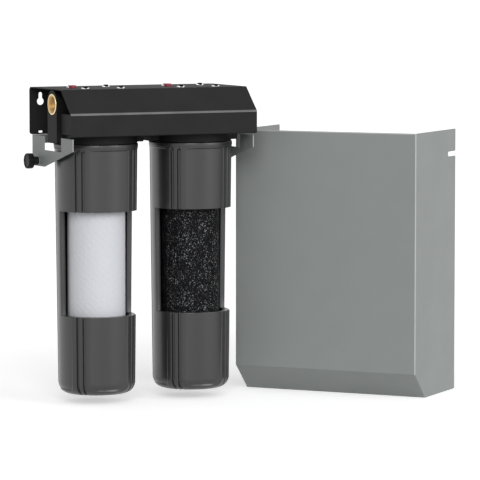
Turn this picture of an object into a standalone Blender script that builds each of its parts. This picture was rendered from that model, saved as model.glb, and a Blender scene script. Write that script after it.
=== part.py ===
"""Twin whole house water filter on a folded wall bracket, with its lift-off cover standing beside it.

Metres, +Z up. The origin is on the wall plate's back face, midway across it and halfway up the hood.
The wall is on the +Y side.
"""

import math

import bmesh
import bpy
from mathutils import Matrix, Vector

# Clearances
GAP = 0.0003
TURN_GAP = 0.0005
OVERRUN = 0.004
MERGE = 0.00001

# Wall bracket
BRACKET_PAST_PORTS = 0.0045
PLATE_DROP = 0.004
PLATE_THICKNESS = 0.002
PLATE_CORNER = 0.006
KEYHOLE_RADIUS = 0.008
KEYHOLE_SLOT_WIDTH = 0.0084
KEYHOLE_RISE = 0.020
KEYHOLE_FROM_END = 0.025
KEYHOLE_FROM_TOP = 0.0314
FOOT_SLOT_LENGTH = 0.010
FOOT_SLOT_WIDTH = 0.0046
FOOT_SLOT_FROM_BOTTOM = 0.0054

# Hood folded from one sheet
HOOD_SHEET = 0.002
HOOD_HEIGHT = 0.098
HOOD_AHEAD = 0.0245
HOOD_SLANT_RUN = 0.053
HOOD_SLANT_DROP = 0.050
HOOD_REAR_FLANGE = 0.020
HOOD_FLANGE_FROM_END = 0.046
HOOD_LIP_CLEARANCE = 0.004

# End panels inside the hood
PANEL_SHEET = 0.002
PANEL_FROM_END = 0.014
PANEL_FLANGE = 0.012

# Rivets
RIVET_RADIUS = 0.0024
RIVET_HEAD_RADIUS = 0.0045
RIVET_HEAD_HEIGHT = 0.0014
HOOD_RIVET_FROM_TOP = 0.011
HOOD_RIVET_FROM_MIDDLE = 0.155
TAB_RIVET_FROM_BOTTOM = 0.012
TAB_RIVET_SPREAD = 0.045

# Bracket that carries the cover
ARM_SHEET = 0.002
ARM_FROM_END = 0.0057
ARM_REAR_WIDTH = 0.066
ARM_NOTCH_WIDTH = 0.0932
ARM_NOTCH_DEPTH = 0.034
ARM_SETBACK = 0.0046
ARM_FRONT_HEIGHT = 0.030
ARM_REAR_HEIGHT = 0.070
ARM_HEEL = 0.008
BAR_HEIGHT = 0.0187
BAR_TAB_RISE = 0.024
BAR_TAB_WIDTH = 0.120

# Filter heads
COLLAR_TO_WALL = 0.026
HEAD_SKIRT_WALL = 0.0115
HEAD_ROOF = 0.006
HEAD_FLARE_HEIGHT = 0.018
HEAD_FLARE_RUN = 0.0265
HEAD_CROWN_EDGE = 0.003
HEAD_BELOW_HOOD = 0.018
SOCKET_DEPTH = 0.034
PORT_WIDTH = 0.050
PORT_PAST_SKIRT = 0.012
PORTS_APART = 0.021
PORT_BELOW_TOP = 0.033
PORT_ROUND = 0.003
PORT_INSET = 0.0007
PORT_BORE_DEPTH = 0.030
WATERWAY_RADIUS = 0.012
DOWNWAY_RADIUS = 0.009
DOWNWAY_FROM_AXIS = 0.047
SEAT_RADIUS = 0.030
SEAT_RECESS = 0.0137

# Brass inserts and the nipple between the heads
INSERT_RADIUS = 0.0226
INSERT_BORE = 0.0166
INSERT_PROUD = 0.001
NIPPLE_RADIUS = 0.0162
NIPPLE_REACH = 0.024
NIPPLE_HEX_RADIUS = 0.021
NIPPLE_HEX_LENGTH = 0.010

# Screws that hold the heads up to the hood
SCREW_RADIUS = 0.003
SCREW_HEAD_RADIUS = 0.0068
SCREW_HEAD_HEIGHT = 0.0048
SCREW_SOCKET_RADIUS = 0.0028
SCREW_SOCKET_DEPTH = 0.0026
SCREW_LENGTH = 0.022
SCREW_OFFSET_X = 0.041
SCREW_OFFSET_Y = 0.040

# Pressure relief buttons
BUTTON_RADIUS = 0.008
BUTTON_RISE = 0.0062
BUTTON_EDGE = 0.0016
BUTTON_DEPTH = 0.012
BUTTON_TRAVEL = 0.003
BUTTON_OFFSET_X = 0.048
BUTTON_OFFSET_Y = 0.012
BUTTON_RIM = 0.0015

# Bowls
BOWL_TOP_GAP = 0.0015
COLLAR_STEP = 0.0015
COLLAR_HEIGHT = 0.009
COLLAR_EDGE = 0.0015
BODY_STEP = 0.0008
BODY_TAPER = 0.0058
FOOT_CORNER = 0.025
BOWL_WALL = 0.0115
BOWL_FLOOR = 0.012
NECK_WALL = 0.008
WINDOW_BOTTOM = 0.1685
WINDOW_HEIGHT = 0.223
SUPPORT_RADIUS = 0.022
SUPPORT_HEIGHT = 0.024

# Bowl seal
SEAL_RADIUS = 0.0022

# Cartridges
MEDIA_RADIUS = 0.0622
MEDIA_TO_NECK = 0.0068
CORE_RADIUS = 0.0145
MEDIA_LENGTH = 0.500
CAP_RADIUS = 0.0605
CAP_THICKNESS = 0.006

# Thumb screws that hold the cover
KNOB_FROM_WALL = 0.039
KNOB_BELOW_HOOD = 0.0584
KNOB_RADIUS = 0.0164
KNOB_HEAD_LENGTH = 0.0135
KNOB_EDGE = 0.0015
KNOB_STEM_RADIUS = 0.0092
KNOB_STEM_LENGTH = 0.0132
KNOB_FLUTE_RADIUS = 0.0016
KNOB_WASHER_THICKNESS = 0.002
STUD_RADIUS = 0.004
STUD_PAST_NUT = 0.006
NUT_RADIUS = 0.0075
NUT_HEIGHT = 0.006

# Lift-off cover, and where it stands
COVER_PAST_ARMS = 0.00045
COVER_PAST_HOOD = 0.003
COVER_HEIGHT = 0.5742
COVER_SHEET = 0.0015
COVER_BEVEL_RUN = 0.0589
COVER_BEVEL_RISE = 0.0565
COVER_SLOT_WIDTH = 0.0106
COVER_SLOT_DEPTH = 0.044
COVER_SLOT_BELOW_TOP = 0.054
COVER_PAST_END = 0.0213
COVER_CORNER_FORWARD = 0.0784
COVER_BELOW_BOWLS = 0.0206
COVER_TURN = math.radians(50.65)

# Sizes that follow from those above
NECK_RADIUS = MEDIA_RADIUS + MEDIA_TO_NECK + NECK_WALL
HEAD_SKIRT_RADIUS = NECK_RADIUS + HEAD_SKIRT_WALL
HEAD_NECK_RADIUS = HEAD_SKIRT_RADIUS - HEAD_FLARE_RUN
COLLAR_RADIUS = HEAD_SKIRT_RADIUS + COLLAR_STEP
BODY_TOP_RADIUS = COLLAR_RADIUS - BODY_STEP
BODY_FOOT_RADIUS = BODY_TOP_RADIUS - BODY_TAPER
PORT_SPAN = (HEAD_SKIRT_RADIUS + PORT_PAST_SKIRT) * 2
HEAD_SPACING = PORT_SPAN + PORTS_APART
BRACKET_WIDTH = HEAD_SPACING + PORT_SPAN + BRACKET_PAST_PORTS * 2
AXIS_TO_WALL = COLLAR_RADIUS + COLLAR_TO_WALL
HOOD_DEPTH = AXIS_TO_WALL + HEAD_SKIRT_RADIUS + HOOD_AHEAD
HOOD_LIP = HOOD_AHEAD - HOOD_LIP_CLEARANCE
ARM_REACH = HOOD_DEPTH - ARM_SETBACK

# Levels and planes that follow too
TOP = HOOD_HEIGHT / 2
BOTTOM = -HOOD_HEIGHT / 2
PLATE_BOTTOM = BOTTOM - PLATE_DROP
END = BRACKET_WIDTH / 2
AXIS_Y = -AXIS_TO_WALL
UNDER_HOOD = TOP - HOOD_SHEET
HEAD_TOP = UNDER_HOOD - GAP
HEAD_BOTTOM = BOTTOM - HEAD_BELOW_HOOD
SOCKET_TOP = HEAD_BOTTOM + SOCKET_DEPTH
COLLAR_TOP = HEAD_BOTTOM - BOWL_TOP_GAP
NECK_TOP = SOCKET_TOP - (SEAL_RADIUS + GAP) * 2
SEAT_FACE = HEAD_BOTTOM + SEAT_RECESS
UPPER_CAP_BASE = SEAT_FACE - GAP - CAP_THICKNESS
MEDIA_BASE = UPPER_CAP_BASE - GAP - MEDIA_LENGTH
CAP_BASE = MEDIA_BASE - GAP - CAP_THICKNESS
FOOT = CAP_BASE - GAP - SUPPORT_HEIGHT - BOWL_FLOOR
BOWL_HEIGHT = COLLAR_TOP - FOOT
PORT_Z = TOP - PORT_BELOW_TOP
ARM_OUTER = END - ARM_FROM_END
ARM_TOP = PLATE_BOTTOM - GAP
BRACKET_FRONT = -PLATE_THICKNESS - GAP
KNOB_Y = -KNOB_FROM_WALL
KNOB_Z = BOTTOM - KNOB_BELOW_HOOD
COVER_WIDTH = (ARM_OUTER + COVER_PAST_ARMS + COVER_SHEET) * 2
COVER_DEPTH = HOOD_DEPTH + COVER_PAST_HOOD
SIDES = {"left": -1, "right": 1}

# Counts
ROUND_STEPS = 48
PORT_STEPS = 32
SMALL_STEPS = 12
RING_STEPS = 6
ARC_POINTS = 5
KNOB_FLUTES = 14
SHARP_ANGLE = math.radians(35)

# Colours: red, green, blue, roughness, metallic
BLACK_STEEL = (0.020, 0.020, 0.022, 0.45, 0.0)
GREY_STEEL = (0.24, 0.25, 0.25, 0.45, 0.3)
COVER_GREY = (0.27, 0.29, 0.28, 0.5, 0.3)
BLACK_PLASTIC = (0.015, 0.015, 0.017, 0.4, 0.0)
BOWL_GREY = (0.085, 0.085, 0.090, 0.38, 0.0)
BRASS = (0.66, 0.47, 0.20, 0.3, 1.0)
ZINC = (0.55, 0.56, 0.57, 0.35, 1.0)
RED = (0.42, 0.02, 0.07, 0.4, 0.0)
RUBBER = (0.02, 0.02, 0.02, 0.8, 0.0)
WHITE_MEDIA = (0.78, 0.78, 0.80, 0.9, 0.0)
CAP_WHITE = (0.70, 0.70, 0.72, 0.5, 0.0)
CARBON = (0.012, 0.012, 0.013, 0.85, 0.0)


def clear_scene():
    for old in list(bpy.data.objects):
        bpy.data.objects.remove(old, do_unlink=True)


def new_collection(name):
    made = bpy.data.collections.new(name)
    bpy.context.scene.collection.children.link(made)
    return made


def set_material(obj, colour):
    made = bpy.data.materials.new(obj.name)
    made.use_nodes = True
    shader = made.node_tree.nodes["Principled BSDF"]
    shader.inputs["Base Color"].default_value = (*colour[:3], 1)
    shader.inputs["Roughness"].default_value = colour[3]
    shader.inputs["Metallic"].default_value = colour[4]
    obj.data.materials.append(made)


def place(obj, location):
    obj.location = location
    bpy.context.view_layer.update()
    return obj


def mesh_object(name, mesh, location=(0, 0, 0)):
    obj = bpy.data.objects.new(name, mesh)
    PARTS.objects.link(obj)
    return place(obj, location)


def finish(obj, colour):
    """Gives a piece its material, with smooth round faces and sharp corners."""
    set_material(obj, colour)
    if obj.type == "MESH":
        obj.data.shade_smooth()
        obj.data.set_sharp_from_angle(angle=SHARP_ANGLE)
    return obj


def as_cutter(obj):
    """Moves an object to the cutters, where it is only drawn as wires."""
    for holder in list(obj.users_collection):
        holder.objects.unlink(obj)
    CUTTERS.objects.link(obj)
    obj.hide_render = True
    obj.display_type = "WIRE"
    return obj


def boolean(obj, other, operation="DIFFERENCE"):
    step = obj.modifiers.new(other.name, "BOOLEAN")
    step.object = as_cutter(other)
    step.operation = operation
    step.solver = "EXACT"
    return obj


def frozen(obj):
    """Turns an object with modifiers, or a curve, into a plain mesh object with welded points."""
    bpy.context.view_layer.update()
    seen = obj.evaluated_get(bpy.context.evaluated_depsgraph_get())
    mesh = bpy.data.meshes.new_from_object(seen)
    shape = bmesh.new()
    shape.from_mesh(mesh)
    bmesh.ops.remove_doubles(shape, verts=shape.verts, dist=MERGE)
    bmesh.ops.recalc_face_normals(shape, faces=shape.faces)
    shape.to_mesh(mesh)
    shape.free()
    name = obj.name
    world = obj.matrix_world.copy()
    holder = obj.users_collection[0]
    bpy.data.objects.remove(obj, do_unlink=True)
    made = bpy.data.objects.new(name, mesh)
    made.matrix_world = world
    holder.objects.link(made)
    return made


def block(name, low, high):
    """A box between two corners."""
    low, high = Vector(low), Vector(high)
    shape = bmesh.new()
    bmesh.ops.create_cube(shape, size=1)
    size = high - low
    bmesh.ops.scale(shape, vec=size, verts=shape.verts)
    mesh = bpy.data.meshes.new(name)
    shape.to_mesh(mesh)
    shape.free()
    return mesh_object(name, mesh, (low + high) / 2)


def rod(name, centre, direction, radius, length, sides=SMALL_STEPS):
    """A cylinder, or a prism of a few sides, centred on a point along a direction."""
    shape = bmesh.new()
    bmesh.ops.create_cone(shape, cap_ends=True, segments=sides, radius1=radius, radius2=radius, depth=length)
    turn = Vector((0, 0, 1)).rotation_difference(Vector(direction)).to_matrix()
    bmesh.ops.rotate(shape, cent=(0, 0, 0), matrix=turn, verts=shape.verts)
    mesh = bpy.data.meshes.new(name)
    shape.to_mesh(mesh)
    shape.free()
    return mesh_object(name, mesh, centre)


def turned(name, profile, location=(0, 0, 0), steps=ROUND_STEPS, closed=False):
    """Turns a profile of (radius, height) points around Z; it runs down the outer side."""
    shape = bmesh.new()
    points = [shape.verts.new((radius, 0, height)) for radius, height in profile]
    pairs = list(zip(points, points[1:]))
    if closed:
        pairs.append((points[-1], points[0]))
    for pair in pairs:
        shape.edges.new(pair)
    mesh = bpy.data.meshes.new(name)
    shape.to_mesh(mesh)
    shape.free()
    obj = mesh_object(name, mesh, location)
    spin = obj.modifiers.new("Turn", "SCREW")
    spin.axis = "Z"
    spin.angle = math.tau
    spin.steps = steps
    spin.render_steps = steps
    spin.use_merge_vertices = True
    spin.merge_threshold = MERGE
    return obj


def arc(centre, radius, start, end, points=ARC_POINTS):
    """Points on a round stretch of an outline, from one angle in degrees to another."""
    turns = [math.radians(start + (end - start) * step / points) for step in range(points + 1)]
    return [(centre[0] + radius * math.cos(turn), centre[1] + radius * math.sin(turn)) for turn in turns]


def outline_plate(name, outlines, thickness):
    """A flat sheet in the local XY plane, centred in its thickness; outlines after the first are holes."""
    curve = bpy.data.curves.new(name, "CURVE")
    curve.dimensions = "2D"
    curve.fill_mode = "BOTH"
    curve.extrude = thickness / 2
    for outline in outlines:
        spline = curve.splines.new("POLY")
        spline.points.add(len(outline) - 1)
        for point, (across, along) in zip(spline.points, outline):
            point.co = (across, along, 0, 1)
        spline.use_cyclic_u = True
    obj = bpy.data.objects.new(name, curve)
    PARTS.objects.link(obj)
    return obj


def stand_in_xz(obj, y):
    """Stands a flat sheet up so that its outline's axes are X and Z."""
    obj.rotation_euler = (math.radians(90), 0, 0)
    return place(obj, (0, y, 0))


def stand_in_yz(obj, x):
    """Stands a flat sheet up so that its outline's axes are Y and Z."""
    obj.rotation_euler = (math.radians(90), 0, math.radians(90))
    return place(obj, (x, 0, 0))


def folded_sheet(name, path, low, high, thickness, axis="X"):
    """Sweeps an open path of two coordinates along an axis and thickens it on the right of the path."""
    shape = bmesh.new()
    rows = []
    for level in (low, high):
        if axis == "X":
            rows.append([shape.verts.new((level, first, second)) for first, second in path])
        else:
            rows.append([shape.verts.new((first, second, level)) for first, second in path])
    for step in range(len(path) - 1):
        shape.faces.new((rows[0][step], rows[1][step], rows[1][step + 1], rows[0][step + 1]))
    mesh = bpy.data.meshes.new(name)
    shape.to_mesh(mesh)
    shape.free()
    obj = mesh_object(name, mesh)
    thicken = obj.modifiers.new("Sheet", "SOLIDIFY")
    thicken.thickness = thickness
    thicken.offset = -1
    thicken.use_even_offset = True
    return obj


def rounded_box_outline(half_width, low, high, corner):
    right, foot, top = half_width - corner, low + corner, high - corner
    return (
        arc((right, top), corner, 0, 90)
        + arc((-right, top), corner, 90, 180)
        + arc((-right, foot), corner, 180, 270)
        + arc((right, foot), corner, 270, 360)
    )


def keyhole_outline(middle, height):
    """A round hole with a narrower slot above it, which the screw head drops into."""
    half = KEYHOLE_SLOT_WIDTH / 2
    lean = math.degrees(math.acos(half / KEYHOLE_RADIUS))
    top = height + KEYHOLE_RISE - half
    hole = arc((middle, height), KEYHOLE_RADIUS, 180 - lean, 360 + lean, ARC_POINTS * 3)
    return hole + arc((middle, top), half, 0, 180)


def slot_outline(middle, height, length, width):
    reach = (length - width) / 2
    half = width / 2
    return arc((middle + reach, height), half, -90, 90) + arc((middle - reach, height), half, 90, 270)


def rivet_places():
    """Where the hood's flange and the cover bracket's tabs are riveted to the wall plate."""
    hood = [(side * HOOD_RIVET_FROM_MIDDLE, TOP - HOOD_RIVET_FROM_TOP) for side in (-1, 1)]
    hood += [(side * HEAD_SPACING / 2, TOP - HOOD_RIVET_FROM_TOP) for side in (-1, 1)]
    tabs = [
        (side * HEAD_SPACING / 2 + spread * TAB_RIVET_SPREAD, BOTTOM + TAB_RIVET_FROM_BOTTOM)
        for side in (-1, 1)
        for spread in (-1, 1)
    ]
    return hood, tabs


def rivet_holes(name, places):
    """Round cutters through the wall plate and the sheet in front of it."""
    reach = PLATE_THICKNESS + GAP + HOOD_SHEET + OVERRUN * 2
    holes = []
    for step, (x, z) in enumerate(places):
        centre = (x, OVERRUN - reach / 2, z)
        holes.append(rod(f"{name}_hole_{step}", centre, (0, 1, 0), RIVET_RADIUS + GAP, reach))
    return holes


def make_wall_plate():
    outlines = [rounded_box_outline(END, PLATE_BOTTOM, TOP, PLATE_CORNER)]
    slot_level = PLATE_BOTTOM + FOOT_SLOT_FROM_BOTTOM
    for side in (-1, 1):
        middle = side * (END - KEYHOLE_FROM_END)
        outlines.append(keyhole_outline(middle, TOP - KEYHOLE_FROM_TOP))
        outlines.append(slot_outline(middle, slot_level, FOOT_SLOT_LENGTH, FOOT_SLOT_WIDTH))
    plate = outline_plate("wall_plate", outlines, PLATE_THICKNESS)
    plate = frozen(stand_in_xz(plate, -PLATE_THICKNESS / 2))
    hood, tabs = rivet_places()
    for hole in rivet_holes("plate", hood + tabs):
        boolean(plate, hole)
    finish(plate, BLACK_STEEL)


def make_hood():
    rear = BRACKET_FRONT
    front = -HOOD_DEPTH
    path = [
        (front + HOOD_LIP, BOTTOM),
        (front, BOTTOM),
        (front, TOP - HOOD_SLANT_DROP),
        (front + HOOD_SLANT_RUN, TOP),
        (rear, TOP),
        (rear, TOP - HOOD_REAR_FLANGE),
    ]
    hood = folded_sheet("hood", path, -END, END, HOOD_SHEET)
    for side in SIDES.values():
        inner, outer = sorted((side * (END - HOOD_FLANGE_FROM_END), side * (END + OVERRUN)))
        low = (inner, rear - HOOD_SHEET - OVERRUN, TOP - HOOD_REAR_FLANGE - OVERRUN)
        boolean(hood, block("flange_end", low, (outer, rear + OVERRUN, TOP - HOOD_SHEET * 2)))
    hood_places, _ = rivet_places()
    for hole in rivet_holes("hood", hood_places):
        boolean(hood, hole)
    for side in SIDES.values():
        for x, y in screw_places(side):
            boolean(hood, rod("screw_hole", (x, y, TOP), (0, 0, 1), SCREW_RADIUS + GAP, OVERRUN * 2))
        x, y = button_place(side)
        boolean(hood, rod("button_hole", (x, y, TOP), (0, 0, 1), BUTTON_RADIUS + BUTTON_RIM, OVERRUN * 2))
    finish(hood, BLACK_STEEL)


def make_rivets():
    """Round-headed rivets whose tails end flush behind the wall plate."""
    hood, tabs = rivet_places()
    seat = BRACKET_FRONT - HOOD_SHEET - GAP
    profile = [
        (0, RIVET_HEAD_HEIGHT),
        (RIVET_HEAD_RADIUS - RIVET_HEAD_HEIGHT / 2, RIVET_HEAD_HEIGHT),
        (RIVET_HEAD_RADIUS, RIVET_HEAD_HEIGHT / 2),
        (RIVET_HEAD_RADIUS, 0),
        (RIVET_RADIUS, 0),
        (RIVET_RADIUS, seat + GAP),
        (0, seat + GAP),
    ]
    for name, places in (("hood_rivet", hood), ("bracket_rivet", tabs)):
        for number, (x, z) in enumerate(places, 1):
            rivet = turned(f"{name}_{number}", profile, steps=SMALL_STEPS)
            rivet.rotation_euler = (math.radians(90), 0, 0)
            finish(place(rivet, (x, seat, z)), BLACK_STEEL)


def joined(name, group):
    """Makes one cutter of several."""
    shape = bmesh.new()
    for obj in group:
        mesh = obj.data.copy()
        mesh.transform(obj.matrix_world)
        shape.from_mesh(mesh)
        bpy.data.meshes.remove(mesh)
        bpy.data.objects.remove(obj, do_unlink=True)
    mesh = bpy.data.meshes.new(name)
    shape.to_mesh(mesh)
    shape.free()
    return mesh_object(name, mesh)


def make_end_panel(side_name, side):
    """An upright panel behind the hood's front, with a flange along that front."""
    front = -HOOD_DEPTH + HOOD_SHEET + GAP
    back = AXIS_Y - PORT_WIDTH / 2 - OVERRUN / 2
    outer = END - PANEL_FROM_END
    path = [(outer, back), (outer, front), (outer - PANEL_FLANGE, front)]
    low = BOTTOM + HOOD_SHEET + GAP
    high = TOP - HOOD_SLANT_DROP - HOOD_SHEET
    panel = folded_sheet(f"{side_name}_end_panel", path, low, high, PANEL_SHEET, axis="Z")
    if side < 0:
        mirror(panel)
    finish(panel, BLACK_STEEL)


def mirror(obj):
    """Reflects a piece made for the right end over to the left."""
    obj.data.transform(Matrix.Scale(-1, 4, (1, 0, 0)))
    obj.data.flip_normals()


def arm_outline():
    """The side arm seen from the end: Y across and Z up."""
    rear = BRACKET_FRONT
    low = BOTTOM - ARM_REAR_HEIGHT
    notch_rear = rear - ARM_REAR_WIDTH
    notch_front = notch_rear - ARM_NOTCH_WIDTH
    return [
        (rear, ARM_TOP),
        (notch_rear, ARM_TOP),
        (notch_rear, BOTTOM - ARM_NOTCH_DEPTH),
        (notch_front, BOTTOM - ARM_NOTCH_DEPTH),
        (notch_front, ARM_TOP),
        (-ARM_REACH, ARM_TOP),
        (-ARM_REACH, BOTTOM - ARM_FRONT_HEIGHT),
        (notch_rear, low),
        *arc((rear - ARM_HEEL, low + ARM_HEEL), ARM_HEEL, 270, 360),
    ]


def bar_outline():
    """The bar along the wall below the wall plate, with two tabs that reach up in front of it."""
    reach = ARM_OUTER - ARM_SHEET / 2
    low = ARM_TOP - BAR_HEIGHT
    high = BOTTOM + BAR_TAB_RISE
    inner = HEAD_SPACING / 2 - BAR_TAB_WIDTH / 2
    outer = HEAD_SPACING / 2 + BAR_TAB_WIDTH / 2
    return [
        (-reach, low),
        (reach, low),
        (reach, ARM_TOP),
        (outer, ARM_TOP),
        (outer, high),
        (inner, high),
        (inner, ARM_TOP),
        (-inner, ARM_TOP),
        (-inner, high),
        (-outer, high),
        (-outer, ARM_TOP),
        (-reach, ARM_TOP),
    ]


def make_cover_bracket():
    bar = outline_plate("cover_bracket", [bar_outline()], ARM_SHEET)
    bar = frozen(stand_in_xz(bar, BRACKET_FRONT - ARM_SHEET / 2))
    for side in (-1, 1):
        arm = outline_plate("arm", [arm_outline()], ARM_SHEET)
        arm = frozen(stand_in_yz(arm, side * (ARM_OUTER - ARM_SHEET / 2)))
        boolean(bar, arm, "UNION")
        centre = (side * ARM_OUTER, KNOB_Y, KNOB_Z)
        boolean(bar, rod("stud_hole", centre, (1, 0, 0), STUD_RADIUS + TURN_GAP, OVERRUN * 2))
    _, tabs = rivet_places()
    for hole in rivet_holes("bracket", tabs):
        boolean(bar, hole)
    finish(bar, GREY_STEEL)


def screw_places(side):
    middle = side * HEAD_SPACING / 2
    return [(middle + a * SCREW_OFFSET_X, AXIS_Y + b * SCREW_OFFSET_Y) for a in (-1, 1) for b in (-1, 1)]


def button_place(side):
    return side * HEAD_SPACING / 2 - BUTTON_OFFSET_X, AXIS_Y + BUTTON_OFFSET_Y


def port_outline():
    """The port block seen from the end: round over the top, square below."""
    half = PORT_WIDTH / 2
    low = HEAD_BOTTOM + PORT_INSET
    return [
        (-half, low + PORT_ROUND),
        (-half + PORT_ROUND, low),
        (half - PORT_ROUND, low),
        (half, low + PORT_ROUND),
        *arc((0, HEAD_TOP - PORT_INSET - half), half, 0, 180, ARC_POINTS * 2),
    ]


def socket_cutter(middle):
    """The space for the bowl's neck, round the seat that presses on the cartridge."""
    radius = NECK_RADIUS + TURN_GAP
    low = HEAD_BOTTOM - OVERRUN
    profile = [
        (0, SEAT_FACE),
        (SEAT_RADIUS, SEAT_FACE),
        (SEAT_RADIUS, SOCKET_TOP),
        (radius, SOCKET_TOP),
        (radius, low),
        (0, low),
    ]
    return turned("socket", profile, (middle, AXIS_Y, 0))


def make_head(side_name, side):
    """A head with a socket for the bowl, a port at each end and a seat for the cartridge."""
    middle = side * HEAD_SPACING / 2
    skirt_top = SOCKET_TOP + HEAD_ROOF
    profile = [
        (0, HEAD_TOP),
        (HEAD_NECK_RADIUS - HEAD_CROWN_EDGE, HEAD_TOP),
        (HEAD_NECK_RADIUS, HEAD_TOP - HEAD_CROWN_EDGE),
        (HEAD_NECK_RADIUS, skirt_top + HEAD_FLARE_HEIGHT),
        (HEAD_SKIRT_RADIUS, skirt_top),
        (HEAD_SKIRT_RADIUS, HEAD_BOTTOM),
        (0, HEAD_BOTTOM),
    ]
    head = turned(f"{side_name}_head", profile, (middle, AXIS_Y, 0))
    ports = frozen(stand_in_yz(outline_plate("ports", [port_outline()], PORT_SPAN), middle))
    ports.location.y = AXIS_Y
    boolean(head, ports, "UNION")
    boolean(head, socket_cutter(middle))
    floor = PORT_SPAN / 2 - PORT_BORE_DEPTH
    for end in (-1, 1):
        length = PORT_BORE_DEPTH + OVERRUN
        centre = (middle + end * (floor + length / 2), AXIS_Y, PORT_Z)
        boolean(head, rod("bore", centre, (1, 0, 0), INSERT_RADIUS + GAP, length, PORT_STEPS))
    way_in = (-floor - OVERRUN, WATERWAY_RADIUS - DOWNWAY_FROM_AXIS)
    way_out = (-WATERWAY_RADIUS, floor + OVERRUN)
    for name, (start, end) in (("way_in", way_in), ("way_out", way_out)):
        centre = (middle + (start + end) / 2, AXIS_Y, PORT_Z)
        boolean(head, rod(name, centre, (1, 0, 0), WATERWAY_RADIUS, end - start))
    for name, offset, roof in (("down_in", DOWNWAY_FROM_AXIS, SOCKET_TOP), ("down_out", 0, SEAT_FACE)):
        drop = PORT_Z - roof + OVERRUN
        centre = (middle - offset, AXIS_Y, PORT_Z - drop / 2)
        boolean(head, rod(name, centre, (0, 0, 1), DOWNWAY_RADIUS, drop))
    x, y = button_place(side)
    bore_down(head, x, y, BUTTON_RADIUS + GAP, BUTTON_DEPTH + BUTTON_TRAVEL + GAP)
    for x, y in screw_places(side):
        bore_down(head, x, y, SCREW_RADIUS + GAP, SCREW_LENGTH - HOOD_SHEET + GAP)
    finish(head, BLACK_PLASTIC)


def bore_down(head, x, y, radius, depth):
    """A blind hole down from the head's top."""
    length = depth + OVERRUN
    boolean(head, rod("blind_hole", (x, y, HEAD_TOP + OVERRUN - length / 2), (0, 0, 1), radius, length))


def ring(name, centre_x, centre_z, outer, inner, length, steps=PORT_STEPS):
    """A plain ring along X, centred on a point of the ports' line."""
    half = length / 2
    profile = [(outer, half), (outer, -half), (inner, -half), (inner, half)]
    made = turned(name, profile, steps=steps, closed=True)
    made.rotation_euler = (0, math.radians(90), 0)
    return place(made, (centre_x, AXIS_Y, centre_z))


def make_inserts():
    """Brass threads in the four ports, and the nipple that links the heads."""
    span = PORT_SPAN / 2
    length = PORT_BORE_DEPTH - GAP + INSERT_PROUD
    centre = span - PORT_BORE_DEPTH + GAP + length / 2
    for name, side in (("inlet_insert", -1), ("outlet_insert", 1)):
        x = side * (HEAD_SPACING / 2 + centre)
        finish(ring(name, x, PORT_Z, INSERT_RADIUS, INSERT_BORE, length), BRASS)
    for side_name, side in SIDES.items():
        x = side * (HEAD_SPACING / 2 - centre)
        finish(ring(f"{side_name}_link_insert", x, PORT_Z, INSERT_RADIUS, INSERT_BORE, length), BRASS)
    reach = (HEAD_SPACING - PORT_SPAN) / 2 + NIPPLE_REACH
    nipple = frozen(ring("link_nipple", 0, PORT_Z, NIPPLE_RADIUS, WATERWAY_RADIUS, reach * 2))
    grip = rod("grip", (0, AXIS_Y, PORT_Z), (1, 0, 0), NIPPLE_HEX_RADIUS, NIPPLE_HEX_LENGTH, 6)
    hollow = (NIPPLE_RADIUS + WATERWAY_RADIUS) / 2
    boolean(grip, rod("grip_bore", (0, AXIS_Y, PORT_Z), (1, 0, 0), hollow, NIPPLE_HEX_LENGTH * 2, PORT_STEPS))
    boolean(nipple, frozen(grip), "UNION")
    finish(nipple, BRASS)


def make_head_screws(side_name, side):
    """Socket-headed screws down through the hood into the head."""
    seat = TOP + GAP
    profile = [
        (0, SCREW_HEAD_HEIGHT - SCREW_SOCKET_DEPTH),
        (SCREW_SOCKET_RADIUS, SCREW_HEAD_HEIGHT - SCREW_SOCKET_DEPTH),
        (SCREW_SOCKET_RADIUS, SCREW_HEAD_HEIGHT),
        (SCREW_HEAD_RADIUS - BUTTON_EDGE / 2, SCREW_HEAD_HEIGHT),
        (SCREW_HEAD_RADIUS, SCREW_HEAD_HEIGHT - BUTTON_EDGE / 2),
        (SCREW_HEAD_RADIUS, 0),
        (SCREW_RADIUS, 0),
        (SCREW_RADIUS, -SCREW_LENGTH),
        (0, -SCREW_LENGTH),
    ]
    for number, (x, y) in enumerate(screw_places(side), 1):
        screw = turned(f"{side_name}_head_screw_{number}", profile, (x, y, seat), SMALL_STEPS)
        finish(screw, BLACK_STEEL)


def make_button(side_name, side):
    """A pressure relief button that stands up through the hood and presses into the head."""
    x, y = button_place(side)
    profile = [
        (0, BUTTON_RISE),
        (BUTTON_RADIUS - BUTTON_EDGE, BUTTON_RISE),
        (BUTTON_RADIUS, BUTTON_RISE - BUTTON_EDGE),
        (BUTTON_RADIUS, HEAD_TOP - BUTTON_DEPTH - TOP),
        (0, HEAD_TOP - BUTTON_DEPTH - TOP),
    ]
    finish(turned(f"{side_name}_relief_button", profile, (x, y, TOP), SMALL_STEPS), RED)


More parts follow.
